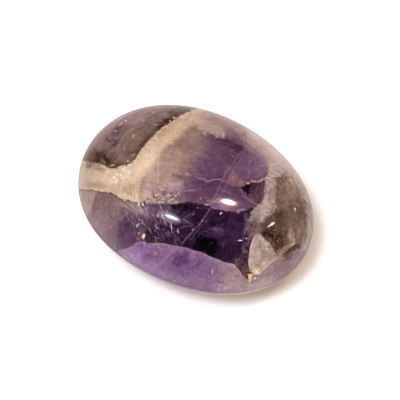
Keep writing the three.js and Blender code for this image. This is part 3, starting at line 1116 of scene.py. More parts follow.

# %% [markdown]
# ## The narrow end
# The narrow end is smoky quartz again, seen into more deeply than the other end: dark hollows, paler
# planes and a ledge where two crystals meet. A pale vein parts it from the purple, and a dark notch is
# bitten out beside the vein. Each is a zone of its own, laid from the back to the front.

# %% Drift the smoke of the narrow end, with painted light along its rim
bark = tint(110, 92, 84)
# Painted rim light: the pale band along the limb stands for light coming through the thin edge.
right_rim_light_zone = area("right_rim_light", [
    (292, 150), (299, 178), (303, 190), (306.5, 204), (308, 222), (305, 238), (300, 252), (360, 250),
    (360, 150),
], soft=2.5, crumble=3)["Mask"]
bark = over(bark, (146, 132, 124), right_rim_light_zone)
bark = dabs("bark_dabs", bark, [
    (284, 186, 9, 9, 0, 0.5, (118, 101, 95)), (296, 184, 5, 12, 20, 0.5, (132, 116, 108)),
    (275, 215, 11, 5, -15, 0.95, (64, 45, 38)), (278, 228, 18, 12, 30, 1, (70, 51, 44), 0.4),
    (276, 245, 11, 9, 0, 1, (64, 46, 39), 0.3), (270, 235, 13, 7, 25, 1, (34, 19, 14), 0.3),
    (268, 238, 4, 3, 30, 0.8, (44, 27, 22)), (281, 238, 6, 5, -30, 0.8, (44, 28, 22)),
    (280, 205, 4, 6, 5, 0.6, (132, 112, 104)), (291, 211, 9, 11, 0, 0.8, (86, 67, 60)),
    (302.5, 208, 3.5, 13, 5, 0.9, (78, 58, 44)), (305, 218, 2.5, 6, 0, 0.9, (84, 65, 46)),
    (296, 228, 3, 10, 8, 0.6, (90, 72, 62)), (303, 232, 3, 6, 0, 0.5, (98, 78, 66)),
    (290.5, 231, 2.6, 12, -12, 0.8, (132, 112, 100)), (277, 197, 3, 5, 0, 0.8, (82, 62, 55)),
    (279, 181, 5, 5, 0, 0.6, (96, 78, 70)), (263, 225, 5, 5, 0, 0.8, (78, 60, 54)),
    (282, 217, 6, 11, 0, 0.8, (72, 50, 43)), (277, 205, 3.5, 8, 0, 0.7, (98, 76, 68)),
    (297, 211, 6, 11, 0, 0.6, (88, 66, 55)), (292, 176, 7, 12, -20, 0.9, (172, 154, 146)),
    (300, 188, 5, 12, -15, 0.8, (152, 134, 124)), (284, 222, 6, 6, 0, 0.7, (74, 52, 45)),
    (291, 190, 7, 10, 0, 0.5, (134, 114, 106)),
])

# %% Swirl it and lay it down
bark = worked(bark, clouds=0.05, mottles=0.12, grains=0.06, steeps=0.05, shard_gleams=0.11)
swirl = noise(tree, place_mm, 0.24, 2.0, 0.5, 1.5).outputs["Fac"]
bark = scaled(tree, bark, ramp(tree, swirl, 0.38, 0.62, 0.84, 1.16))
bark = over(
    bark, (66, 49, 41), threads(drawn_out(-84, 2.4), scale=0.75, width=0.08, patch_scale=0.7, bare=0.47),
    0.35
)
bark = over(
    bark, (146, 129, 119),
    threads(drawn_out(-96, 2.6), scale=0.8, width=0.07, patch_scale=0.8, bare=0.48), 0.3
)
smoky_right = area("smoky_right", [
    (283, 172.6), (287, 170.7), (330, 160), (360, 160), (360, 250), (303, 250), (299, 250),
    (295.6, 242.5), (277.5, 257.4), (261.7, 274), (254, 275), (248.2, 266.6), (248.5, 258), (250, 248),
    (252, 240), (254, 231), (258, 221), (270, 205), (272, 190), (272, 176.6), (280, 175.8),
], soft=1.0, crumble=1.3)
colour = lay(tree, colour, bark, smoky_right["Mask"])

# %% The ledge, its painted shadow and its painted highlights
wedge = area("wedge", [
    (295.4, 242), (288, 244), (283, 247.5), (277.2, 255.5), (277.5, 258), (286, 250.3),
], soft=1.2, crumble=0.9)
colour = lay(
    tree, colour, worked(tint(132, 113, 100), mottles=0.12, grains=0.1), times(wedge["Mask"], front, 0.9)
)
# Painted shadow: the dark patch under the ledge.
under_ledge = area("under_ledge", [
    (283, 254.6), (288, 250), (295.8, 243.5), (299.5, 244.5), (300.5, 248), (294, 250.8), (290, 253),
    (287, 254.8),
], soft=0.9, crumble=1.3)
ledge_dark_zone = area("ledge_dark", [
    (282, 256), (288, 249), (292, 250), (290, 255),
], soft=1.5, crumble=1.0)["Mask"]
ledge_shade = lay(tree, tint(72, 52, 44), tint(40, 24, 19), ledge_dark_zone)
colour = lay(tree, colour, worked(ledge_shade, mottles=0.2), times(under_ledge["Mask"], front))
# Painted highlights: the pale line along the ledge, its bright tip and the glow along the ridge above it.
ledge_highlight_line = line("ledge_highlight", [
    (276, 259), (277.5, 257.4), (286, 250.3), (295.6, 242.6), (296.5, 241.8),
], width=0.3, soft=0.8, wobble=0.3, fade=1.5)
ledge_highlight = times(ledge_highlight_line, 0.55)
colour = over(colour, (170, 150, 132), ledge_highlight)
colour = marks("ledge_tip_highlight", colour, [(292, 244.4, 4.0, 1.0, -32, 0.9, (196, 172, 150))], 0.1)
colour = marks("ridge_glow", colour, [(290.2, 236, 2.8, 8.5, -10, 0.8, (144, 119, 105))], 0.0)

# %% The pale vein
vein = tint(136, 121, 119)
vein = dabs("vein_dabs", vein, [
    (266, 209, 9, 5, 20, 0.8, (164, 148, 136)), (255, 217, 6, 5, -30, 0.6, (122, 103, 106)),
    (262, 217.5, 4, 3, -30, 0.6, (168, 152, 140)), (270, 203, 5, 4, 0, 0.6, (160, 145, 137)),
    (268.5, 193, 3.5, 3, 0, 0.5, (118, 100, 99)),
])
vein = worked(vein, clouds=0.03, mottles=0.24, grains=0.06, steeps=0.05, shard_gleams=0.17)
vein = over(vein, (186, 172, 164), strokes(drawn_out(30, 3.0), scale=1.1, low=0.53, high=0.66), 0.6)
vein = over(vein, (96, 78, 78), strokes(drawn_out(-62, 1.8), scale=0.9, low=0.54, high=0.66), 0.45)
vein = over(vein, (168, 154, 148), threads(scale=1.3, width=0.09, patch_scale=1.1, bare=0.42), 0.3)
pale_vein = area("pale_vein", [
    (265.4, 181), (268, 178.6), (273.8, 177), (275.6, 182.2), (275, 186.8), (276.1, 190.2),
    (274.6, 195.4), (275.4, 200), (274.8, 204), (275.2, 210), (270.9, 213.4), (267.5, 217.2),
    (261.7, 221.6), (253.7, 222.4), (248.4, 220.6), (250.3, 215.5), (253.7, 210.4), (257, 205.6),
    (261.4, 202.4), (263, 198), (264, 191), (264.2, 186.8),
], soft=1.3, crumble=2.0)
colour = lay(tree, colour, vein, pale_vein["Mask"])

# %% The dark notch
notch = area("notch", [
    (240.5, 187.4), (243, 185.4), (249.1, 183.6), (253.7, 182.6), (262, 181.6), (265, 181), (264, 188),
    (263, 196), (259, 203), (254, 199), (250, 194), (248, 195.2), (245.4, 193.4), (243.4, 190),
], soft=0.8, crumble=1.1)
notch_tone = dabs("notch_dabs", tint(68, 46, 58), [(253, 186, 8, 4.5, 0, 0.8, (44, 24, 38))])
notch_tone = worked(notch_tone, mottles=0.2, grains=0.14, shard_gleams=0.12)
notch_tone = over(
    notch_tone, (104, 80, 92), threads(scale=1.5, width=0.08, patch_scale=1.2, bare=0.44), 0.5
)
hollow_zone = area("hollow", [
    (238, 188), (244, 183), (250.4, 182), (250.4, 191), (249, 197), (243, 195),
], soft=1.7, crumble=0.9)["Mask"]
notch_tone = over(notch_tone, (24, 8, 22), hollow_zone)
colour = lay(tree, colour, notch_tone, times(notch["Mask"], front))

# %% [markdown]
# ## The crystal face
# The grinding cut across the tip of a natural crystal, and its cut face shows as a grey window with
# straight sides. It is flat and matt inside the stone, so it has no streaks, only specks, and its two
# bright sides are thin lines of painted highlight. Its zone has the hardest edge of all.

# %% Drift the grey
stone_face = tint(142, 129, 121)
stone_face = dabs("crystal_face_dabs", stone_face, [
    (252.5, 255, 3.5, 14, 8, 0.6, (160, 146, 138)), (264, 241, 8, 2.6, 42, 0.8, (168, 156, 150)),
    (257, 238, 3, 3, 0, 0.5, (160, 146, 138)), (266, 253, 6, 5.5, 20, 0.85, (110, 101, 97)),
    (259, 243, 3, 2.6, 0, 0.6, (118, 106, 101)), (255, 249, 2, 5, 10, 0.4, (122, 108, 102)),
    (257, 271, 8, 5, 0, 0.9, (186, 166, 144)), (265, 267, 10, 2.6, -45, 0.7, (168, 150, 136)),
    (260, 262, 5, 3, 0, 0.4, (156, 143, 136)), (273, 255, 5, 2.2, 60, 0.5, (124, 110, 104)),
    (254.6, 272, 5, 3.4, 0, 0.9, (206, 184, 160)), (264, 266, 7, 3.4, -42, 0.6, (184, 165, 150)),
])

# %% Speckle the face and lay it down
stone_face = worked(stone_face, mottles=0.22, grains=0.07, shard_gleams=0.16)
stone_face = over(
    stone_face, (98, 90, 86), threads(scale=1.5, width=0.07, patch_scale=1.3, bare=0.46), 0.55
)
stone_face = over(
    stone_face, (178, 168, 160), threads(scale=1.9, width=0.07, patch_scale=1.3, bare=0.47), 0.45
)
facet = area("facet", [
    (254.6, 235), (259, 233.6), (261, 234.6), (263.4, 237.6), (270, 243.6), (272.8, 248.2),
    (277.8, 257.6), (268, 266.6), (262.5, 271.4), (258.4, 275), (255.4, 275.2), (252.8, 272.6),
    (249.8, 271.6), (249.2, 268), (248.4, 262), (249.3, 252.7), (251.2, 243), (253, 237.4),
], soft=0.45, crumble=0.25)
# Painted highlights: the pale lines along the face's left and lower sides.
left_edge_highlight = line("facet_left", [
    (254.4, 235.4), (251.6, 243.2), (249.8, 252.7), (248.9, 262), (249.8, 271),
], width=0.2, soft=1.1, wobble=0.2, fade=2)
stone_face = over(stone_face, (186, 168, 156), left_edge_highlight, 0.6)
low_edge_highlight = line("facet_low", [
    (256, 274.6), (262.2, 272), (270, 264.6), (277.2, 257.2),
], width=0.3, soft=1.2, wobble=0.2, fade=3)
stone_face = over(stone_face, (190, 168, 146), low_edge_highlight, 0.75)
facet_shade_line = line("facet_shade", [
    (251, 242), (248.6, 252), (247.4, 260), (247, 267), (248, 272),
], width=0.4, soft=1.6, wobble=0.5, fade=3)
colour = over(colour, (50, 32, 32), facet_shade_line, 0.7)
colour = lay(tree, colour, stone_face, times(facet["Mask"], front))

# %% [markdown]
# ## Light and shade below the skin, painted
# One sees a few millimetres into polished quartz, so a place is also darker or paler by what lies below
# it and by the light scattered there. Light scattering inside the mesh could do it, but then every thread
# would blur. That light and shade is painted instead: veils multiply the finished colour and keep its
# texture. Stains then shift a few tones, and a few of those marks are painted shade and light at ledges.
# instead: they multiply the finished colour and keep its texture. Stains then shift a few tones.


# %% Lay the painted light and shade
def one_veil(group, where, under, across_at, down_at, long, wide, strength, turn=0):
    """One oval of painted light and shade that makes what is under it darker or paler."""
    place = oval(across_at, down_at, long, wide, turn)
    return use(group, light_and_shade_veil, **where, **place, Share=strength - 1, Under=under)["Tone"]


def veils(name, under, items):
    """Paints light and shade: makes the quartz darker or paler in soft places, on the face only."""
    return gathered(name, under, EXACT, one_veil, items)


# Painted light and shade: each oval makes the finished colour darker or paler, for light scattered under
# the skin.
colour = veils("painted_light_and_shade", colour, [
    (203, 203.2, 11, 4, 0.65), (248.5, 218, 4.5, 6, 0.55), (220, 212.5, 4.5, 4.5, 0.65),
    (132.5, 230, 6.5, 7, 0.62), (138, 211, 6, 7, 1.3), (91, 165, 8, 6, 0.76), (281, 212, 8, 10, 0.9),
    (129, 188, 10, 9, 0.8), (143, 206, 4, 4, 0.6), (150, 220, 10, 9, 0.82), (256, 203.5, 8, 3.5, 0.7),
    (184, 106.5, 9, 3, 0.7, -20), (181, 222.5, 5, 4, 1.35), (290, 254, 10, 8, 0.78, -40),
    (264, 148, 8, 6, 0.82, 45), (161, 132, 11, 5, 0.82, -50), (185, 146, 7, 7, 0.78),
    (174, 123, 6, 4, 0.82, -40), (166, 204.6, 8, 2.5, 0.74), (273, 256, 7, 7, 0.82),
    (119, 192, 7, 4, 0.82, 10), (239, 186.5, 5, 3, 0.78), (169, 233, 5, 6, 1.35),
    (209, 194, 10, 11, 0.86), (186, 194, 6, 5, 0.78), (166, 193, 7, 4, 0.82), (247, 245, 6, 9, 1.5),
    (236, 158, 13, 9, 0.84, 10), (159, 198, 7, 5, 1.35), (184, 271, 11, 9, 0.8, 20),
    (279, 177, 5, 4, 0.8), (248, 184, 5, 3, 0.8), (192, 228.5, 6, 5, 0.72), (222, 264.5, 8, 5, 0.8, 10),
    (199, 220, 5, 5, 0.82), (286, 220, 11, 9, 0.86), (179, 232, 5, 4, 0.85), (92, 184, 7, 4, 0.86),
    (243, 281, 8, 5, 0.88), (268, 238, 6, 4, 0.75), (297, 207, 5, 10, 0.84), (288, 215, 42, 62, 1.12, 20),
    (254, 274, 7, 6, 1.25), (262, 268, 9, 8, 1.2), (260, 284, 18, 9, 1.13, -12), (222, 290, 14, 7, 1.13),
    (233, 264, 7, 4, 1.35), (288, 239, 8, 6, 1.3), (301, 228, 5, 10, 1.2), (274, 229, 5, 4, 1.25),
    (180, 243, 4, 4, 1.4), (186, 218, 7, 6, 1.45), (201, 234, 8, 6, 1.35), (150, 212, 4, 6, 1.3),
    (243, 213, 6, 5, 1.45), (242, 259, 7, 5, 1.4), (183, 113.4, 7, 3.4, 1.5, -10), (193, 124, 5, 4, 1.22),
    (113, 181, 10, 6, 1.12), (152, 180, 9, 6, 1.16), (253, 134, 12, 8, 1.12, 35),
    (277, 154, 9, 6, 1.1, 45), (298, 184, 5, 13, 1.12, -15), (131, 258, 14, 9, 1.12, 30),
    (166, 277, 12, 6, 1.12, 20), (123, 119, 12, 7, 1.1, -40), (291, 177, 3, 4, 0.8),
    (87, 160, 7, 9, 0.84), (254, 211, 5, 5, 0.82), (259, 203.5, 4, 3, 0.8), (254, 183.5, 6, 3, 0.84),
    (282, 203, 8, 6, 0.78), (263, 202.5, 4.5, 3.5, 0.8), (163, 188, 9, 7, 0.84), (256, 238, 6, 7, 0.88),
    (94, 186, 14, 7, 0.86), (95, 167, 12, 8, 0.86), (162, 254, 12, 9, 0.85), (286, 218, 11, 10, 0.84),
    (201, 264, 9, 10, 0.85, 30), (236, 258, 3, 3, 0.7), (217, 189, 8, 12, 0.82), (291, 179, 4, 4, 0.84),
    (135, 188, 6, 9, 0.86), (237, 189, 9, 9, 0.86), (130, 146, 12, 11, 0.88, -40),
    (232, 138, 8, 5, 1.2, 25), (262, 152, 30, 9, 1.15, 42), (199, 118, 10, 6, 1.12),
    (304, 202, 4, 10, 1.2), (235, 284, 14, 8, 1.12), (270, 284, 12, 7, 1.12, -30), (184, 224, 5, 4, 1.3),
    (213, 209.5, 3, 3, 1.35), (149, 238, 5, 6, 0.74), (149, 228, 6, 6, 0.88), (156, 223, 4, 5, 0.8),
    (158, 212, 8, 6, 0.88), (142.5, 205, 4, 4, 0.8), (262, 237, 4, 4, 1.25), (252.5, 264, 4.5, 10, 1.25),
    (89, 156, 7, 6, 0.86), (252, 291, 12, 4, 1.15, -15), (280, 203, 10, 6, 0.86), (262, 168, 8, 10, 1.15),
    (248, 148, 12, 9, 1.15, 40), (164, 164, 9, 8, 1.14), (231, 125, 14, 7, 1.14, 25),
    (160, 240, 5, 5, 1.35), (199, 256, 7, 5, 0.87, 20), (130, 206, 9, 8, 1.18, 30),
    (138, 214, 4, 6, 1.25), (207, 217, 4, 4, 1.35), (219.5, 214, 4, 3, 0.75), (107, 134, 10, 8, 0.9, -40),
    (252, 290, 18, 5, 1.15, -25), (304, 201, 5, 13, 1.12), (304, 227, 3.5, 7, 1.14),
    (138, 120, 15, 5, 1.06, -15), (129, 224, 5, 6, 1.2), (137, 235, 4, 5, 0.86), (119, 226, 4, 5, 0.87),
    (110, 236, 9, 13, 0.88), (164, 233, 5, 5, 0.82), (150, 240, 6, 5, 0.7), (148, 228, 8, 12, 0.87),
    (156, 223, 4, 4, 0.76), (166, 204, 14, 12, 0.9), (169, 220, 5, 8, 1.14), (143, 206, 4, 5, 0.87),
    (201, 238, 5, 4, 1.5), (212, 254, 7, 4, 1.3), (227, 214, 4, 5, 1.3), (230, 196.6, 4, 1.5, 1.12),
    (180.5, 243.6, 3, 3, 1.2), (263, 173, 4, 6, 1.12), (279, 209, 3, 5, 1.16), (256, 264, 3, 4, 1.08),
    (263, 238, 4, 3, 1.1, 30), (269, 207, 3, 4, 1.08), (129, 190, 4, 5, 1.08), (90, 154, 7, 8, 0.93),
    (184, 107.4, 7, 2, 0.75, -20), (265, 241, 6, 4, 1.1, 40), (251, 191, 4, 4, 1.25),
    (195, 124, 8, 3, 1.12), (213, 211, 3, 3, 1.3), (188, 220, 7, 7, 1.3), (245, 237, 7, 10, 1.25),
    (139, 170, 9, 9, 1.05), (152, 252, 8, 8, 1.1), (250, 281, 10, 4, 0.93, -10), (263, 187, 3, 4, 1.15),
    (286, 183, 6, 6, 1.1), (188, 206, 13, 6, 0.72), (286.5, 205, 3, 4, 0.88), (248, 184, 11, 6, 0.87),
    (139, 215.5, 3, 3, 1.15), (230, 197, 4, 1.5, 1.15), (270, 276, 6, 6, 1.08), (219, 215.5, 3, 3, 0.8),
    (158, 212, 5, 4, 0.87), (301, 189, 3, 9, 1.08, -20), (190, 211, 6, 3, 0.8), (263, 176, 3, 5, 1.1),
    (142, 192, 3, 6, 1.06), (138, 148, 9, 8, 0.93, -40), (203, 116, 7, 4, 1.07, 20),
    (108, 166, 9, 5, 0.92), (249, 217, 4, 5, 0.88), (245, 241, 8, 9, 1.12), (231, 131, 8, 8, 1.1, 30),
    (205, 195, 5, 4, 1.12), (279.5, 209, 2.4, 5, 1.14),
])

# %% Lay the stains and the painted shade and light along the ledges
colour = marks("stains_and_ledge_shade", colour, [
    (247.5, 270.5, 6, 4.5, 40, 0.55, (112, 88, 76)), (253, 134, 11, 6, 33, 0.4, (172, 156, 150)),
    (291, 171, 8, 5, 50, 0.4, (174, 160, 152)), (89, 156.5, 6, 6, 0, 0.4, (94, 66, 46)),
    (225, 207.2, 11, 3, 8, 0.5, (142, 116, 132)), (112, 240, 8, 9, 40, 0.4, (92, 70, 96)),
    (186, 192, 8, 6, 0, 0.4, (84, 58, 82)), (117, 227, 5, 5, 0, 0.4, (80, 58, 82)),
    (254, 275, 5, 4, 0, 0.4, (182, 160, 146)), (256, 228, 8, 9, 0, 0.25, (108, 88, 104)),
    (176, 190, 8, 8, 0, 0.35, (134, 116, 134)), (275, 165, 14, 9, 50, 0.3, (176, 164, 160)),
    (285, 163, 18, 7, 50, 0.35, (204, 194, 192)), (256, 134, 16, 6, 35, 0.3, (200, 188, 190)),
    (245, 274, 4, 3.4, 30, 0.5, (124, 94, 78)), (299.4, 178, 13, 3, 60, 0.3, (214, 208, 206)),
    (266, 283, 10, 4, -35, 0.3, (176, 160, 158)), (159, 200, 5, 5, 0, 0.3, (178, 152, 152)),
    (288, 251, 10, 7, -35, 0.4, (84, 64, 56)), (139, 170, 10, 10, 0, 0.3, (216, 190, 172)),
    (167, 139, 9, 4, -45, 0.3, (194, 158, 122)), (256, 137, 10, 5, 40, 0.3, (214, 204, 202)),
    (173, 184, 10, 6, 0, 0.25, (176, 152, 158)), (142, 270, 11, 4, 32, 0.2, (146, 124, 162)),
    (121, 117.4, 13, 2.5, -28, 0.25, (184, 170, 176)), (90, 156, 8, 8, 0, 0.5, (84, 66, 58)),
    (276, 152, 13, 5, 48, 0.3, (214, 206, 204)), (138, 120, 16, 5, -18, 0.25, (160, 140, 146)),
    (130, 209.4, 9, 4, 50, 0.4, (106, 92, 92)), (116, 136, 10, 5.5, -62, 0.35, (96, 78, 92)),
    (109, 238, 8, 14, 0, 0.45, (102, 83, 102)), (106, 216, 9, 14, 0, 0.3, (106, 88, 96)),
    (185, 107.6, 9, 2, -12, 0.6, (106, 90, 86)), (149.6, 239, 6, 6, 0, 0.45, (46, 24, 46)),
    (156.5, 223, 3, 3, 0, 0.4, (72, 44, 70)), (112, 240, 7, 9, 0, 0.6, (90, 68, 94)),
    # These four rows are painted shade under the upper ledge and the jag, and on the second ledge a painted
    # pale edge over painted shade.
    (170, 171.4, 4, 1, 5, 0.5, (128, 100, 92)), (180, 177, 5, 1, 10, 0.5, (104, 76, 82)),
    (192, 179.6, 6, 1.2, 8, 0.6, (92, 64, 84)), (200, 183.4, 6, 1.8, 15, 0.7, (76, 48, 76)),
    (213, 185, 7, 2, -5, 0.6, (72, 44, 72)), (224, 185.4, 5, 1.8, 20, 0.5, (72, 44, 72)),
    (190, 190.2, 8, 0.8, -6, 0.5, (152, 124, 136)), (190, 192.6, 9, 1.3, -4, 0.5, (82, 56, 84)),
    (132, 209, 10, 5, 40, 0.6, (106, 88, 96)), (250, 291, 22, 4, -22, 0.3, (180, 162, 162)),
    (296, 172, 7, 3, 55, 0.3, (218, 208, 206)),
], 0.0)


# %% Bloom at the low right
end_bloom_zone = area("end_bloom", [
    (222, 279), (246, 287), (262, 282), (272, 274), (284, 272), (270, 290), (240, 298), (215, 296),
], soft=3, crumble=3)["Mask"]
end_bloom = times(end_bloom_zone, front)
colour = over(colour, (176, 158, 158), end_bloom, strokes(scale=1.1, low=0.5, high=0.64), 0.35)
colour = over(colour, (112, 86, 96), end_bloom, strokes(place_apart, scale=1.1, low=0.52, high=0.66), 0.25)

# %% [markdown]
# ## Healed cracks
# A crack that healed is a thin, pale sheet through the quartz, and where the polish cuts it one sees a
# line. Each is a row of places on the sheet. How far a vertex lies from that row and how far along it
# are kept as attributes, so the line can fade at its ends and break up where the mottle is low. A curve
# object would lie on the surface as a raised thread.

# %% Draw the cracks, the hairs and the painted shade under the upper ledge
for name, corners, width, soft, wobble, share, tone in [
    ("crack", [
        (247, 149), (241, 152.5), (238, 156), (234, 162), (229.4, 168.3), (225.6, 173.6), (221, 182.7),
        (218.6, 188.4), (215.5, 196), (210.5, 206),
    ], 0.15, 1.5, 0.3, 0.32, (140, 112, 138)),
    ("crack_low", [
        (211, 206), (209.9, 209), (206.6, 214.2), (203.4, 218.9), (198.8, 225.3), (193.6, 230.4),
        (187.3, 237.3), (181, 244.8),
    ], 0.1, 1.0, 0.4, 0.5, (130, 106, 136)),
    ("crack_twin", [
        (244, 151.7), (240.5, 160), (235.4, 167), (230.5, 174), (227, 184), (223, 192), (218, 199),
    ], 0.1, 1.5, 0.4, 0.25, (140, 112, 138)),
    ("crack_on", [
        (179, 247), (172, 252), (165, 259), (158, 265), (150, 268),
    ], 0.3, 1.6, 0.4, 0.4, (142, 114, 148)),
    ("crack_branch", [
        (238.8, 187.3), (241.1, 190.8), (243.4, 195.4), (248, 199.4), (252.6, 202.4), (257.7, 205.7),
    ], 0.2, 1.1, 0.35, 0.5, (136, 108, 134)),
    ("crack_side", [(229, 153.5), (232.5, 155.6), (236.5, 158.6)], 0.2, 1.2, 0.3, 0.4, (132, 102, 128)),
    ("haze_line", [
        (249.5, 154), (249, 164), (248.6, 172), (248, 181),
    ], 0.3, 1.8, 0.4, 0.35, (128, 98, 126)),
    ("haze_twin", [(251.5, 165), (256, 170), (262, 173)], 0.3, 1.6, 0.4, 0.3, (128, 98, 126)),
    ("flat_line", [(252, 163), (256, 164.6), (260, 165)], 0.2, 1.0, 0.3, 0.4, (140, 112, 134)),
    ("fray", [
        (219, 196.6), (216.6, 199.4), (213, 203), (209.6, 204.6),
    ], 0.2, 1.2, 0.4, 0.4, (150, 124, 144)),
    ("low_ripple", [
        (184, 192), (189, 190.6), (193, 191.6), (198, 189.4), (203, 187),
    ], 0.1, 0.9, 0.7, 0.35, (148, 122, 142)),
    ("high_ripple", [
        (168, 171), (174, 172.4), (180, 174.4), (186, 176.2), (192, 175),
    ], 0.1, 0.9, 0.7, 0.4, (164, 142, 138)),
    ("web_tail", [
        (183, 218), (186.4, 220.5), (190.2, 223), (193.6, 226), (196, 229),
    ], 0.1, 1.0, 0.6, 0.45, (112, 92, 122)),
    ("web_arc", [
        (179, 231), (180.4, 228.7), (184.4, 226.4), (190.2, 226.1), (194, 228),
    ], 0.1, 1.0, 0.5, 0.4, (104, 84, 112)),
    ("web_cross", [
        (184, 219.5), (187.9, 215.5), (192.5, 213.5), (196, 209),
    ], 0.2, 1.0, 0.6, 0.35, (100, 78, 108)),
    ("web_low", [
        (187.9, 237.3), (191.3, 239.6), (194.2, 234.4), (198.8, 228.7), (203, 222),
    ], 0.2, 0.9, 0.4, 0.3, (104, 82, 112)),
    ("web_right", [
        (206, 230.5), (211, 228.3), (217, 228.5), (222, 229.5), (226, 233),
    ], 0.2, 1.4, 0.7, 0.4, (96, 72, 106)),
    # Painted shade: a dark line of shade under a ledge, not a crack.
    ("upper_ledge_shade", [
        (170, 174), (174, 175), (178, 176), (184, 177.6), (190, 176.8), (197, 178.4),
    ], 0.5, 1.8, 0.9, 0.8, (96, 68, 72)),
    ("smoke_arc", [
        (119, 150), (122, 146), (126, 140), (132, 133.4), (139, 128.6), (148, 125.6), (156, 124.6),
    ], 0.3, 1.8, 0.4, 0.35, (82, 62, 54)),
    ("smoke_twin", [
        (116, 148), (120.6, 140), (125.6, 133), (131, 127),
    ], 0.1, 1.4, 0.4, 0.35, (136, 118, 112)),
    ("smoke_top", [
        (119.6, 126.4), (124, 124), (129, 124.6), (133, 127),
    ], 0.2, 1.1, 0.4, 0.35, (84, 66, 62)),
    ("hair_low", [
        (105.4, 229), (109, 228), (111.6, 226.6), (113, 223.2), (112.4, 221),
    ], 0.05, 0.7, 0.4, 0.5, (156, 134, 142)),
    ("hair_left", [
        (93.6, 222.4), (95.4, 221.6), (96.6, 223.6), (99, 225),
    ], 0.05, 0.7, 0.3, 0.5, (158, 140, 146)),
    ("hair_mid", [
        (104.6, 212.8), (106.6, 216.4), (107.4, 219), (108.6, 222.4),
    ], 0.05, 0.7, 0.4, 0.5, (154, 136, 138)),
    ("hair_high", [(104, 203.6), (106, 204.6), (107.6, 206.6)], 0.05, 0.7, 0.3, 0.5, (150, 132, 132)),
    ("hair_right", [
        (124, 213.6), (126.6, 216.2), (128.6, 217.4), (130, 220.4),
    ], 0.05, 0.8, 0.4, 0.4, (146, 124, 138)),
    ("hair_end", [
        (121.6, 203.4), (125.6, 206.4), (130, 209.4), (134.4, 211.4), (137.6, 214.6),
    ], 0.1, 1.0, 0.7, 0.5, (158, 144, 134)),
    ("hair_twin", [
        (127.6, 203), (131, 206), (134, 208.6), (139, 212),
    ], 0.1, 0.9, 0.7, 0.5, (158, 146, 132)),
    ("right_ridge", [
        (290.4, 226), (292.4, 230.6), (293.9, 235.6), (294.6, 239.6), (293.8, 242),
    ], 0.1, 1.0, 0.4, 0.5, (158, 138, 122)),
    ("strip_light", [
        (257, 222), (253, 226), (252, 233), (249, 240), (246, 247.5),
    ], 0.4, 2.0, 1.0, 0.5, (122, 100, 112)),
    ("strip_twin", [
        (247.5, 224), (245, 229), (243.6, 236), (243, 243),
    ], 0.3, 1.8, 1.0, 0.4, (108, 86, 102)),
]:
    colour = over(colour, tone, line(name, corners, width=width, soft=soft, wobble=wobble), share)

# %% The jagged ledge across the purple
jag_shade = line("jag_shade", [
    (198, 180), (203.7, 182), (207.7, 184.4), (213, 182.6), (220, 182.6), (229, 187), (239, 188),
], width=0.5, soft=2.0, wobble=1.0, fade=5)
colour = over(colour, (62, 36, 62), jag_shade, 0.5)
dark_block = area("dark_block", [
    (117.4, 229.6), (122, 226.6), (130, 229), (135, 234), (135, 243), (129, 247), (116.4, 251.8),
], soft=0.9, crumble=0.7)["Mask"]
colour = over(colour, (72, 46, 74), dark_block, 0.35, front)
faint_jag = line("faint_jag", [
    (194, 176.4), (198, 177.8), (203.2, 179), (207.7, 181.6), (212, 179.8), (219.3, 179.5), (225, 181.2),
], width=0.05, soft=0.9, wobble=0.7, fade=5)
colour = over(colour, (166, 138, 156), faint_jag, 0.55)

# %% The rose crystal
rose = area("rose", [
    (227.6, 181.6), (229, 177), (232.4, 171.6), (236, 172.8), (239.4, 177.4), (246.2, 182.8),
    (243.6, 185.8), (238, 186.4), (231.4, 186.6), (229.6, 183.4),
], soft=1.3, crumble=0.9)["Mask"]
rose_tone = dabs("rose_dabs", tint(116, 85, 98), [
    (230.4, 179.6, 3, 4, 20, 0.8, (144, 110, 114)), (241, 183.6, 4.5, 2.4, 25, 0.6, (146, 116, 124)),
])
rose_tone = worked(rose_tone, mottles=0.2, grains=0.08, shard_gleams=0.12)
rose_tone = over(rose_tone, (160, 128, 130), strokes(scale=2.2, low=0.56, high=0.68), 0.5)
colour = lay(tree, colour, rose_tone, times(rose, 0.8, front))

# %% The pale jag beside the vein
jag = line("jag", [
    (246, 184.6), (247.6, 183.6), (249.6, 183.2), (252, 181), (255, 181.6), (258.6, 181), (262.4, 179.4),
    (266.3, 178), (268.4, 178.6), (271.3, 176.6), (275, 177), (280.4, 175.6), (281.6, 172.6),
    (287, 170.8),
], width=0.2, soft=0.8, wobble=0.9, fade=2)
colour = over(colour, (186, 164, 162), jag, 0.9)

# %% [markdown]
# ## Pits
# Beside the dark zone a strip of quartz crumbled under the wheel and never took the polish. The pits are
# small and ragged, darkened with painted shade where they sink, with pale crumbs between them.
# Scattered strokes make most of them and a few marks set the largest. The same strokes sink the surface
# when the polish is made.

# %% Crumble the strip and paint shade into its pits
PIT_STROKES = {"scale": 1.3, "low": 0.53, "high": 0.62}
pit_area = area("pits", [
    (143, 204), (147, 196), (155, 189), (173, 188), (181, 194), (180, 201.4), (168, 202.6), (152, 204),
], soft=1.8, crumble=2)["Mask"]
# Painted shade: the dark threads and strokes darken the pits, and the strokes are the ones the bump sinks.
colour = over(
    colour, (78, 54, 60), pit_area, threads(scale=1.15, width=0.08, patch_scale=1.2, bare=0.42), 0.6,
    front
)
colour = over(colour, (72, 46, 54), pit_area, strokes(**PIT_STROKES), 0.7, front)
colour = over(
    colour, (186, 166, 164), pit_area, strokes(place_apart, scale=1.5, low=0.52, high=0.64), 0.65, front
)

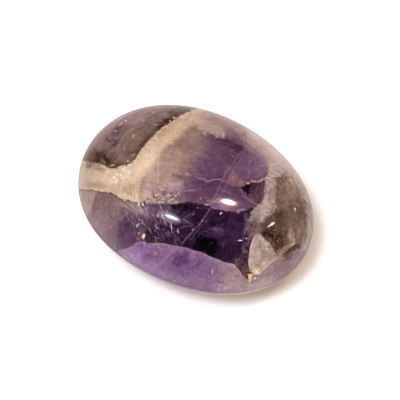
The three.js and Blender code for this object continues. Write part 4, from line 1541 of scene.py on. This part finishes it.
# %% Set the largest pits, with painted shade, and crumbs
colour = marks("shaded_pits_and_crumbs", colour, [
    (154.6, 197.4, 2.8, 1.6, 15, 0.8, (62, 40, 46)), (157.4, 200.2, 1.4, 1.2, 0, 0.7, (70, 46, 52)),
    (148.6, 198.4, 1.9, 1.1, 0, 0.7, (86, 64, 64)), (163.6, 193.8, 3, 1.3, -15, 0.8, (70, 46, 52)),
    (166.2, 192, 1.6, 0.9, 0, 0.6, (78, 54, 60)), (170.6, 198, 1.9, 1.2, 0, 0.8, (66, 44, 50)),
    (159.8, 191.4, 1.6, 0.8, 30, 0.6, (92, 68, 70)), (152.6, 204.4, 2.2, 1, 0, 0.8, (56, 34, 40)),
    (178, 196.2, 1.2, 1.4, 0, 0.5, (96, 70, 78)), (151.6, 198.4, 0.9, 1.2, 0, 0.7, (196, 176, 166)),
    (160.6, 202, 3.6, 0.9, -5, 0.6, (186, 166, 160)), (173.6, 199.4, 1, 1.4, 0, 0.7, (190, 170, 168)),
    (176, 202, 2.6, 0.9, 0, 0.6, (186, 164, 164)), (166, 196.6, 1.6, 0.8, 20, 0.5, (176, 156, 154)),
])

# %% [markdown]
# ## Sparkles, chips and gold
# Single small things are what make a stone this stone and no other: glints of trapped fluid and short
# scratches of light, both painted into the colour as bright marks, and a golden fleck of iron at the
# crystal's foot. The other marks here are pale streaks and specks of the stone's own. They are too few
# and too different to be scattered, so each is a small mark with its own middle, half lengths, turn,
# strength and tone.

# %% Set the painted glints and the streaks
# The white and brightest marks are painted glints of light; the rest are pale streaks and specks of the
# stone's own.
colour = marks("painted_glints_and_streaks", colour, [
    (143.5, 236.4, 2, 3, 8, 1, (208, 146, 102)), (143.8, 236, 1.1, 2, 8, 1, (255, 232, 205)),
    (143.2, 204.6, 0.9, 1.4, 20, 1, (214, 204, 214)), (142.2, 202.2, 0.9, 1.2, 0, 0.7, (180, 165, 172)),
    (138.9, 204.2, 0.9, 2.8, -6, 0.9, (206, 194, 180)), (141.6, 211, 1.2, 4.6, -26, 0.6, (150, 132, 130)),
    (132.8, 206, 1.3, 4.2, -38, 0.55, (140, 124, 120)), (136.6, 207, 0.9, 3.2, -34, 0.5, (142, 126, 124)),
    (123.6, 206.4, 2.6, 0.9, -42, 0.6, (140, 120, 128)), (120, 204, 1, 1.2, 0, 0.6, (150, 130, 134)),
    (137, 213, 1.2, 1.6, -30, 0.6, (130, 112, 124)), (124.6, 200.3, 1.1, 0.9, 0, 0.9, (215, 195, 180)),
    (157.7, 215.6, 0.9, 2.2, 5, 0.9, (186, 170, 196)), (153.6, 215, 1.2, 2.4, -25, 0.5, (130, 110, 134)),
    (161, 207.4, 0.8, 2.6, -8, 0.6, (150, 130, 150)), (162.6, 216.4, 0.9, 3.4, -22, 0.8, (170, 152, 178)),
    (165, 222.6, 0.8, 3.6, -24, 0.7, (150, 130, 160)), (160, 212, 4, 1.4, 20, 0.4, (126, 106, 128)),
    (155.6, 225.4, 0.8, 2, 30, 0.7, (146, 124, 150)), (157, 228, 1.5, 1.6, 0, 0.7, (152, 130, 156)),
    (155.4, 231, 0.7, 1.8, -20, 0.6, (130, 108, 136)), (171.5, 227.2, 0.7, 4.4, -6, 0.9, (186, 166, 192)),
    (172.6, 232.4, 0.7, 1.6, -10, 0.6, (160, 138, 166)),
    (178, 231.2, 0.8, 2.8, -14, 0.9, (182, 162, 188)), (137.6, 225.4, 1, 2.8, 28, 0.9, (184, 160, 180)),
    (139.2, 219.4, 0.8, 1.8, 10, 0.7, (164, 144, 162)), (134.6, 234, 0.8, 3.6, -8, 0.5, (126, 104, 126)),
    (139.4, 232.8, 1.6, 0.8, -20, 0.6, (160, 136, 158)),
    (155.6, 238, 0.9, 2.4, -20, 0.6, (140, 118, 144)), (158, 238.4, 0.9, 1, 0, 0.6, (150, 126, 150)),
    (128.4, 219.6, 0.9, 1, 0, 0.6, (150, 128, 150)), (105, 220.4, 1, 0.9, 0, 0.6, (156, 134, 146)),
    (105.8, 205, 3.4, 0.7, 48, 0.45, (134, 114, 116)), (108, 216, 3.2, 0.7, 62, 0.45, (138, 118, 120)),
    (95.6, 222.4, 2.6, 0.9, -5, 0.4, (150, 132, 140)), (184, 219.4, 0.7, 0.9, 0, 0.6, (150, 132, 156)),
    (197.6, 207.8, 1.4, 0.9, -20, 0.6, (110, 92, 108)), (193.4, 214.4, 0.8, 0.8, 0, 0.7, (130, 112, 136)),
    (192.6, 229.4, 0.9, 0.6, 20, 0.8, (170, 150, 176)), (206.6, 204.6, 3.2, 0.8, 4, 0.8, (186, 158, 170)),
    (202.3, 220.8, 0.9, 1, 0, 0.8, (156, 134, 164)), (206.2, 221.4, 1.2, 0.8, 0, 0.6, (126, 102, 132)),
    (206, 231.4, 1.4, 0.8, 20, 0.6, (116, 92, 122)), (214.4, 229, 2.6, 1.8, 0, 0.4, (100, 76, 108)),
    (216, 231.4, 1.6, 1, 0, 0.4, (116, 88, 112)), (221, 213.7, 1.3, 1.1, -35, 1, (216, 168, 178)),
    (240.2, 240.5, 2.1, 0.7, -4, 1, (236, 246, 244)), (237.4, 240.8, 1.6, 0.6, -5, 0.5, (128, 130, 136)),
    (246.5, 238.6, 1, 0.8, 0, 0.9, (206, 186, 200)), (271.9, 224.2, 3.6, 1.2, -35, 1, (255, 255, 255)),
    (268.2, 226.6, 1.1, 0.7, -20, 0.9, (214, 206, 204)), (295, 209.2, 1.1, 1.7, -12, 1, (206, 216, 182)),
    (295.2, 212, 1.2, 3, -4, 0.4, (130, 126, 98)), (297.6, 205.6, 0.7, 0.8, 0, 0.7, (180, 166, 152)),
    (296.8, 195.4, 0.8, 0.8, 0, 0.7, (176, 164, 156)), (293.6, 240.2, 1, 2, 8, 0.9, (186, 170, 150)),
    (274.6, 230, 1.3, 1, 20, 0.7, (140, 116, 104)), (267.4, 249, 1.5, 1.2, 0, 0.8, (184, 174, 174)),
    (257.6, 253.6, 1.2, 1, 0, 0.7, (186, 168, 156)), (262.4, 248.4, 1.6, 0.8, 0, 0.4, (174, 164, 156)),
    (283, 258.6, 2.4, 1, -15, 0.6, (158, 142, 138)), (294.4, 252.4, 1, 0.8, 0, 0.7, (156, 138, 128)),
    (293, 256.4, 1.6, 1.2, 0, 0.4, (140, 122, 122)), (276, 264, 1.6, 3.4, 20, 0.4, (146, 130, 130)),
    (212.4, 271.4, 0.8, 2.4, 8, 1, (196, 166, 196)), (214.8, 267.6, 0.8, 1, 0, 0.6, (150, 122, 150)),
    (195, 262.6, 6.4, 0.9, -50, 0.6, (134, 104, 142)), (171.4, 261.6, 1.6, 1, -40, 0.5, (140, 112, 146)),
    (175, 281.4, 3, 1, 30, 0.5, (142, 120, 152)), (184.6, 273, 0.9, 3.6, 12, 0.4, (132, 108, 146)),
    (164.6, 276, 3, 1.2, 30, 0.4, (136, 112, 146)), (196, 277, 1, 3, 10, 0.35, (134, 112, 142)),
    (208.8, 277, 1.2, 1.8, 0, 0.4, (136, 114, 136)), (144.6, 243.4, 0.9, 2.6, -10, 0.7, (156, 128, 164)),
    (143.8, 245.8, 0.8, 1.4, 0, 0.6, (150, 122, 160)), (145.9, 249.3, 1.4, 0.8, 0, 0.6, (146, 116, 156)),
    (153.6, 246, 0.9, 3, -20, 0.6, (150, 124, 142)), (158.4, 247.4, 1.4, 0.8, 0, 0.6, (170, 138, 148)),
    (157, 253.4, 0.8, 3.4, 14, 0.5, (140, 112, 134)), (250.6, 161.2, 2, 0.8, 30, 0.8, (142, 114, 142)),
    (262.3, 165.5, 2.2, 0.6, 4, 0.9, (164, 134, 150)), (259.8, 144, 1.2, 1, 50, 0.8, (176, 156, 158)),
    (254.8, 278.3, 1.2, 1.7, 0, 1, (196, 188, 188)), (251.4, 285.4, 1.2, 0.7, -20, 0.7, (190, 180, 168)),
    (249.6, 284.6, 0.7, 0.9, 0, 0.7, (200, 188, 172)), (234, 278, 1.9, 1.3, 0, 0.6, (164, 150, 154)),
    (236.6, 285, 1.8, 1.6, 20, 0.4, (158, 144, 146)), (148.6, 184.8, 1, 2.2, 0, 0.8, (184, 170, 166)),
    (164.6, 185.6, 2, 1.2, -5, 0.6, (178, 162, 158)), (177.8, 181.2, 1.4, 1.1, -30, 0.7, (172, 152, 160)),
    (171.6, 185, 2.4, 1.2, -20, 0.4, (166, 148, 152)), (184.6, 195.8, 0.8, 1.2, 0, 0.6, (138, 112, 134)),
    (200.4, 198.4, 0.9, 1, 0, 0.7, (150, 124, 148)), (206, 197.6, 1.2, 0.9, 0, 0.5, (140, 112, 136)),
    (192, 191, 2.4, 0.8, -5, 0.5, (128, 100, 124)), (187, 174, 2.6, 1.5, 0, 0.6, (164, 142, 138)),
    (179, 151.6, 4.6, 0.9, 38, 0.7, (158, 138, 128)), (184.6, 145.4, 1, 2, 20, 0.4, (146, 126, 118)),
    (197.4, 149, 0.8, 1.2, 0, 0.5, (140, 116, 116)), (204.7, 133.8, 1.6, 1.9, 10, 0.8, (170, 150, 146)),
    (206.4, 124.4, 1.4, 0.9, 0, 0.6, (174, 156, 146)), (223.4, 135, 0.9, 3.4, 8, 0.9, (178, 160, 158)),
    (201.8, 156.4, 0.9, 0.8, 0, 0.5, (130, 104, 118)), (231, 151, 3.4, 0.8, -8, 0.4, (112, 84, 106)),
])

# %% The golden fleck
gold = area("gold", [
    (247.8, 273.8), (253.4, 274), (251.6, 278.6), (250, 283.8), (248.6, 281),
], soft=0.5, crumble=0.15)
gold_tone = marks("gold_marks", tint(204, 162, 116), [
    (249.8, 277.6, 0.9, 3.6, 4, 0.9, (236, 200, 160)), (248.2, 279, 0.7, 4, 0, 0.6, (130, 88, 54)),
], 0.0)
colour = lay(tree, colour, gold_tone, times(gold["Mask"], front))
black_cut = line("black_cut", [
    (243, 271.4), (245.5, 272.6), (248, 272.9), (250.4, 272.4), (252.6, 273.6),
], width=0.4, soft=0.7, wobble=0.4, fade=1.5)
colour = over(colour, (28, 14, 12), black_cut, 0.85)

# %% [markdown]
# ## The polish
# A polished stone is a smooth mirror over coloured depth. The shader's own gloss does that: quartz bends
# light by 1.544, and a roughness near nought keeps the lamps' mirror images crisp. The roughness drifts
# a little with the mottle, as hand polish does, and rises where the quartz crumbled. The pits are sunk
# by a bump, because they are finer than the mesh.

# %% Finish the surface
QUARTZ_IOR = 1.544
POLISH = 0.06
POLISH_DRIFT = 0.008
PIT_DEPTH = 0.07 * MM
pit_floor = times(pit_area, strokes(**PIT_STROKES), front)
crumbly = calc(tree, "MAXIMUM", times(pit_area, front), times(crumb["Mask"], front))
sheen_drift = calc(tree, "MULTIPLY_ADD", mottle, POLISH_DRIFT, POLISH)
roughness = calc(tree, "MULTIPLY_ADD", crumbly, ramp(tree, bites, -0.5, 1.0, 0.04, 0.22), sheen_drift)
height = calc(tree, "MULTIPLY", pit_floor, -1.0)
sunk = add(tree, "Bump", {"Height": height, "Distance": PIT_DEPTH, "Strength": 0.6})

tree.links.new(colour, surface.inputs["Base Color"])
tree.links.new(roughness, surface.inputs["Roughness"])
tree.links.new(sunk.outputs[0], surface.inputs["Normal"])
surface.inputs["IOR"].default_value = QUARTZ_IOR
stone_mesh.materials.append(quartz)
print(
    "material:", len(tree.nodes), "nodes and", len(tree.links), "links;", len(stone_mesh.attributes),
    "attributes"
)

# %% [markdown]
# ## The paper
# The stone lies on plain white paper that is lit until it is pure white, so only the shadow is left on
# it. The paper is one large square. It isn't seen in the polish, because its far edge would draw a line
# there.

# %% Lay down the paper
PAPER_HALF_SIZE = 1500 * MM
PAPER_WHITE = (0.88, 0.912, 0.895, 1)

floor_bm = bmesh.new()
bmesh.ops.create_grid(floor_bm, x_segments=1, y_segments=1, size=PAPER_HALF_SIZE)
floor_mesh = bpy.data.meshes.new("white_paper")
floor_bm.to_mesh(floor_mesh)
floor_bm.free()
floor = bpy.data.objects.new("white_paper", floor_mesh)
bpy.context.scene.collection.objects.link(floor)
floor.visible_glossy = False
paper = bpy.data.materials.new("white_paper")
paper.use_nodes = True
paper_surface = paper.node_tree.nodes["Principled BSDF"]
paper_surface.inputs["Base Color"].default_value = PAPER_WHITE
paper_surface.inputs["Roughness"].default_value = 1.0
paper_surface.inputs["Specular IOR Level"].default_value = 0.0
floor_mesh.materials.append(paper)
print("paper:", 2 * PAPER_HALF_SIZE, "m across")

# %% [markdown]
# ## The lamps
# Wide lamps would be mirrored in the polish as pale sheets, so the work is shared. Three soft suns light
# the stone and the paper but are hidden from reflections: two cool ones nearly overhead, which cast the
# narrow shadow, and a very wide warm one from the left, which turns that shadow peach. The two gleams
# are mirror images of small oval lamps. Each gleam has a bright core and then a glow, a halo or a
# coloured fringe, as the mirror image of a real lamp with a reflector has. Where such a lamp must hang
# follows from the place of its gleam: the line of sight is mirrored at the stone's surface.

# %% Work out where a gleam's lamp hangs
LAMP_DISTANCE = 700 * MM


def add_lamp(name, place, across, size, power, colour, in_gloss):
    """A flat oval lamp that faces the stone, with its longer way along the direction across."""
    data = bpy.data.lights.new(name, "AREA")
    data.shape = "ELLIPSE"
    data.size, data.size_y = size
    data.energy = power
    data.color = colour
    lamp = bpy.data.objects.new(name, data)
    back = (place - middle).normalized()
    along = (across - across.dot(back) * back).normalized()
    lamp.matrix_world = Matrix.LocRotScale(
        place, Matrix((along, back.cross(along), back)).transposed(), None
    )
    lamp.visible_glossy = in_gloss
    bpy.context.scene.collection.objects.link(lamp)
    return lamp


def bounce(across, down):
    """Where a lamp must hang to be mirrored at this place on the sheet."""
    spot, facing = face_spot(across, down)
    seen = sheet_ray(across, down)
    return spot + (seen - 2 * seen.dot(facing) * facing) * LAMP_DISTANCE


def lamp_for_gleam(name, left, right, top, bottom, power, colour):
    """A lamp that is mirrored as a gleam between these four places on the sheet."""
    ends = [bounce(*place) for place in (left, right, top, bottom)]
    size = ((ends[1] - ends[0]).length, (ends[3] - ends[2]).length)
    print(name, "is", [round(x / MM) for x in size], "mm across")
    return add_lamp(name, (ends[0] + ends[1]) / 2, ends[1] - ends[0], size, power, colour, True)


# %% Shine the soft suns
COOL = (0.724, 0.879, 1.02)
WARM = (1.0, 0.67, 0.5)
floor_up = Vector((-eye_right.y, eye_right.x, 0))
for name, right, up, spread, strength, colour in [
    ("key", -0.24, -0.20, 12, 1.35, COOL),
    ("side_key", -0.14, -0.22, 18, 1.0, COOL),
    ("warm_side", -0.7, -0.3, 60, 0.8, WARM),
]:
    data = bpy.data.lights.new(name, "SUN")
    data.angle = math.radians(spread)
    data.energy = strength
    data.color = colour
    sun = bpy.data.objects.new(name, data)
    shines_from = eye_right * right + floor_up * up + Vector((0, 0, 1))
    sun.rotation_euler = shines_from.to_track_quat("Z", "Y").to_euler()
    sun.visible_glossy = False
    bpy.context.scene.collection.objects.link(sun)
    print(name, "is", spread, "degrees wide")

# %% Hang the gleams' lamps
for gleam in [
    ("cool_lamp", (165.6, 215), (178, 219.8), (171.8, 216.1), (170.9, 218.5), 0.22, (0.9, 0.95, 1.0)),
    ("cool_glow", (162, 213.2), (181, 220.9), (171.4, 214.2), (169.6, 219.7), 0.09, (0.95, 0.93, 1.0)),
    ("cool_halo", (158.5, 212.3), (180.5, 221.7), (170.6, 212), (167, 221), 0.14, (0.9, 0.74, 1.0)),
    ("warm_lamp", (221.6, 200.7), (235.4, 203.6), (229.6, 199.5), (229, 203.9), 0.54, (1.0, 0.97, 0.92)),
    ("warm_fringe", (217.8, 200), (237.8, 204.1), (229.6, 198.4), (229, 204.7), 0.12, (1.0, 0.34, 0.1)),
    ("warm_tail", (206, 200.9), (222, 202.3), (215, 200.4), (214.8, 202.8), 0.028, (1.0, 0.55, 0.42)),
    ("warm_halo", (217, 200), (238.5, 204.6), (230, 196.2), (229.6, 205.6), 0.1, (1.0, 0.68, 0.66)),
]:
    lamp_for_gleam(*gleam)

# %% [markdown]
# ## The room
# A room does two jobs. It fills the shadows with a faint warm light, and it is mirrored in the polish,
# dark above and pale near the table, which gives the stone its rim. Those two can't be the same
# brightness here, so the world asks the kind of ray: the fill for plain light, a ramp over the ray's
# height for mirrored rays, and plain white for what the camera sees past the paper.

# %% Let the room glow
ROOM_FILL = (0.96, 0.67, 0.51)
ROOM_STRENGTH = 0.7
MIRRORED_TINT = (1.0, 0.88, 0.9)
REFLECTED_ROOM = [  # height of a mirrored ray, from -1 straight down to 1 straight up, and what it meets
    (-1.0, 0.95),
    (-0.95, 0.55),
    (-0.91, 0.35),
    (-0.85, 0.6),
    (-0.7, 0.9),
    (-0.5, 0.9),
    (-0.2, 0.35),
    (0.0, 0.10),
    (0.35, 0.03),
    (1.0, 0.02),
]
world = bpy.data.worlds.new("room")
world.use_nodes = True
room = world.node_tree
fill = room.nodes["Background"]
fill.inputs["Color"].default_value = (*ROOM_FILL, 1)
fill.inputs["Strength"].default_value = ROOM_STRENGTH
ray_way = room.nodes.new("ShaderNodeTexCoord")
ray_height = room.nodes.new("ShaderNodeSeparateXYZ")
ray_share = room.nodes.new("ShaderNodeMapRange")
ray_share.inputs["From Min"].default_value = -1
mirrored = room.nodes.new("ShaderNodeValToRGB")
stops = mirrored.color_ramp.elements
for height, level in REFLECTED_ROOM:
    place = (height + 1) / 2
    ends = {0.0: 0, 1.0: len(stops) - 1}
    stop = stops[ends[place]] if place in ends else stops.new(place)
    stop.color = (*(level * part for part in MIRRORED_TINT), 1)

# %% Choose by the kind of ray
dim = room.nodes.new("ShaderNodeBackground")
path = room.nodes.new("ShaderNodeLightPath")
choose = room.nodes.new("ShaderNodeMixShader")
room.links.new(ray_way.outputs["Generated"], ray_height.inputs[0])
room.links.new(ray_height.outputs["Z"], ray_share.inputs["Value"])
room.links.new(ray_share.outputs[0], mirrored.inputs[0])
room.links.new(mirrored.outputs[0], dim.inputs["Color"])
room.links.new(path.outputs["Is Glossy Ray"], choose.inputs[0])
room.links.new(fill.outputs[0], choose.inputs[1])
room.links.new(dim.outputs[0], choose.inputs[2])
backdrop = room.nodes.new("ShaderNodeBackground")
backdrop.inputs["Color"].default_value = (1, 1, 1, 1)
show = room.nodes.new("ShaderNodeMixShader")
room.links.new(path.outputs["Is Camera Ray"], show.inputs[0])
room.links.new(choose.outputs[0], show.inputs[1])
room.links.new(backdrop.outputs[0], show.inputs[2])
room.links.new(show.outputs[0], room.nodes["World Output"].inputs["Surface"])
bpy.context.scene.world = world
bpy.context.scene.view_settings.view_transform = "Standard"
print("room:", len(room.nodes), "nodes")

# %% [markdown]
# ## The end
# The polished mesh is meant to stay inside the box of the part's own solid.

# %% Finish
import json
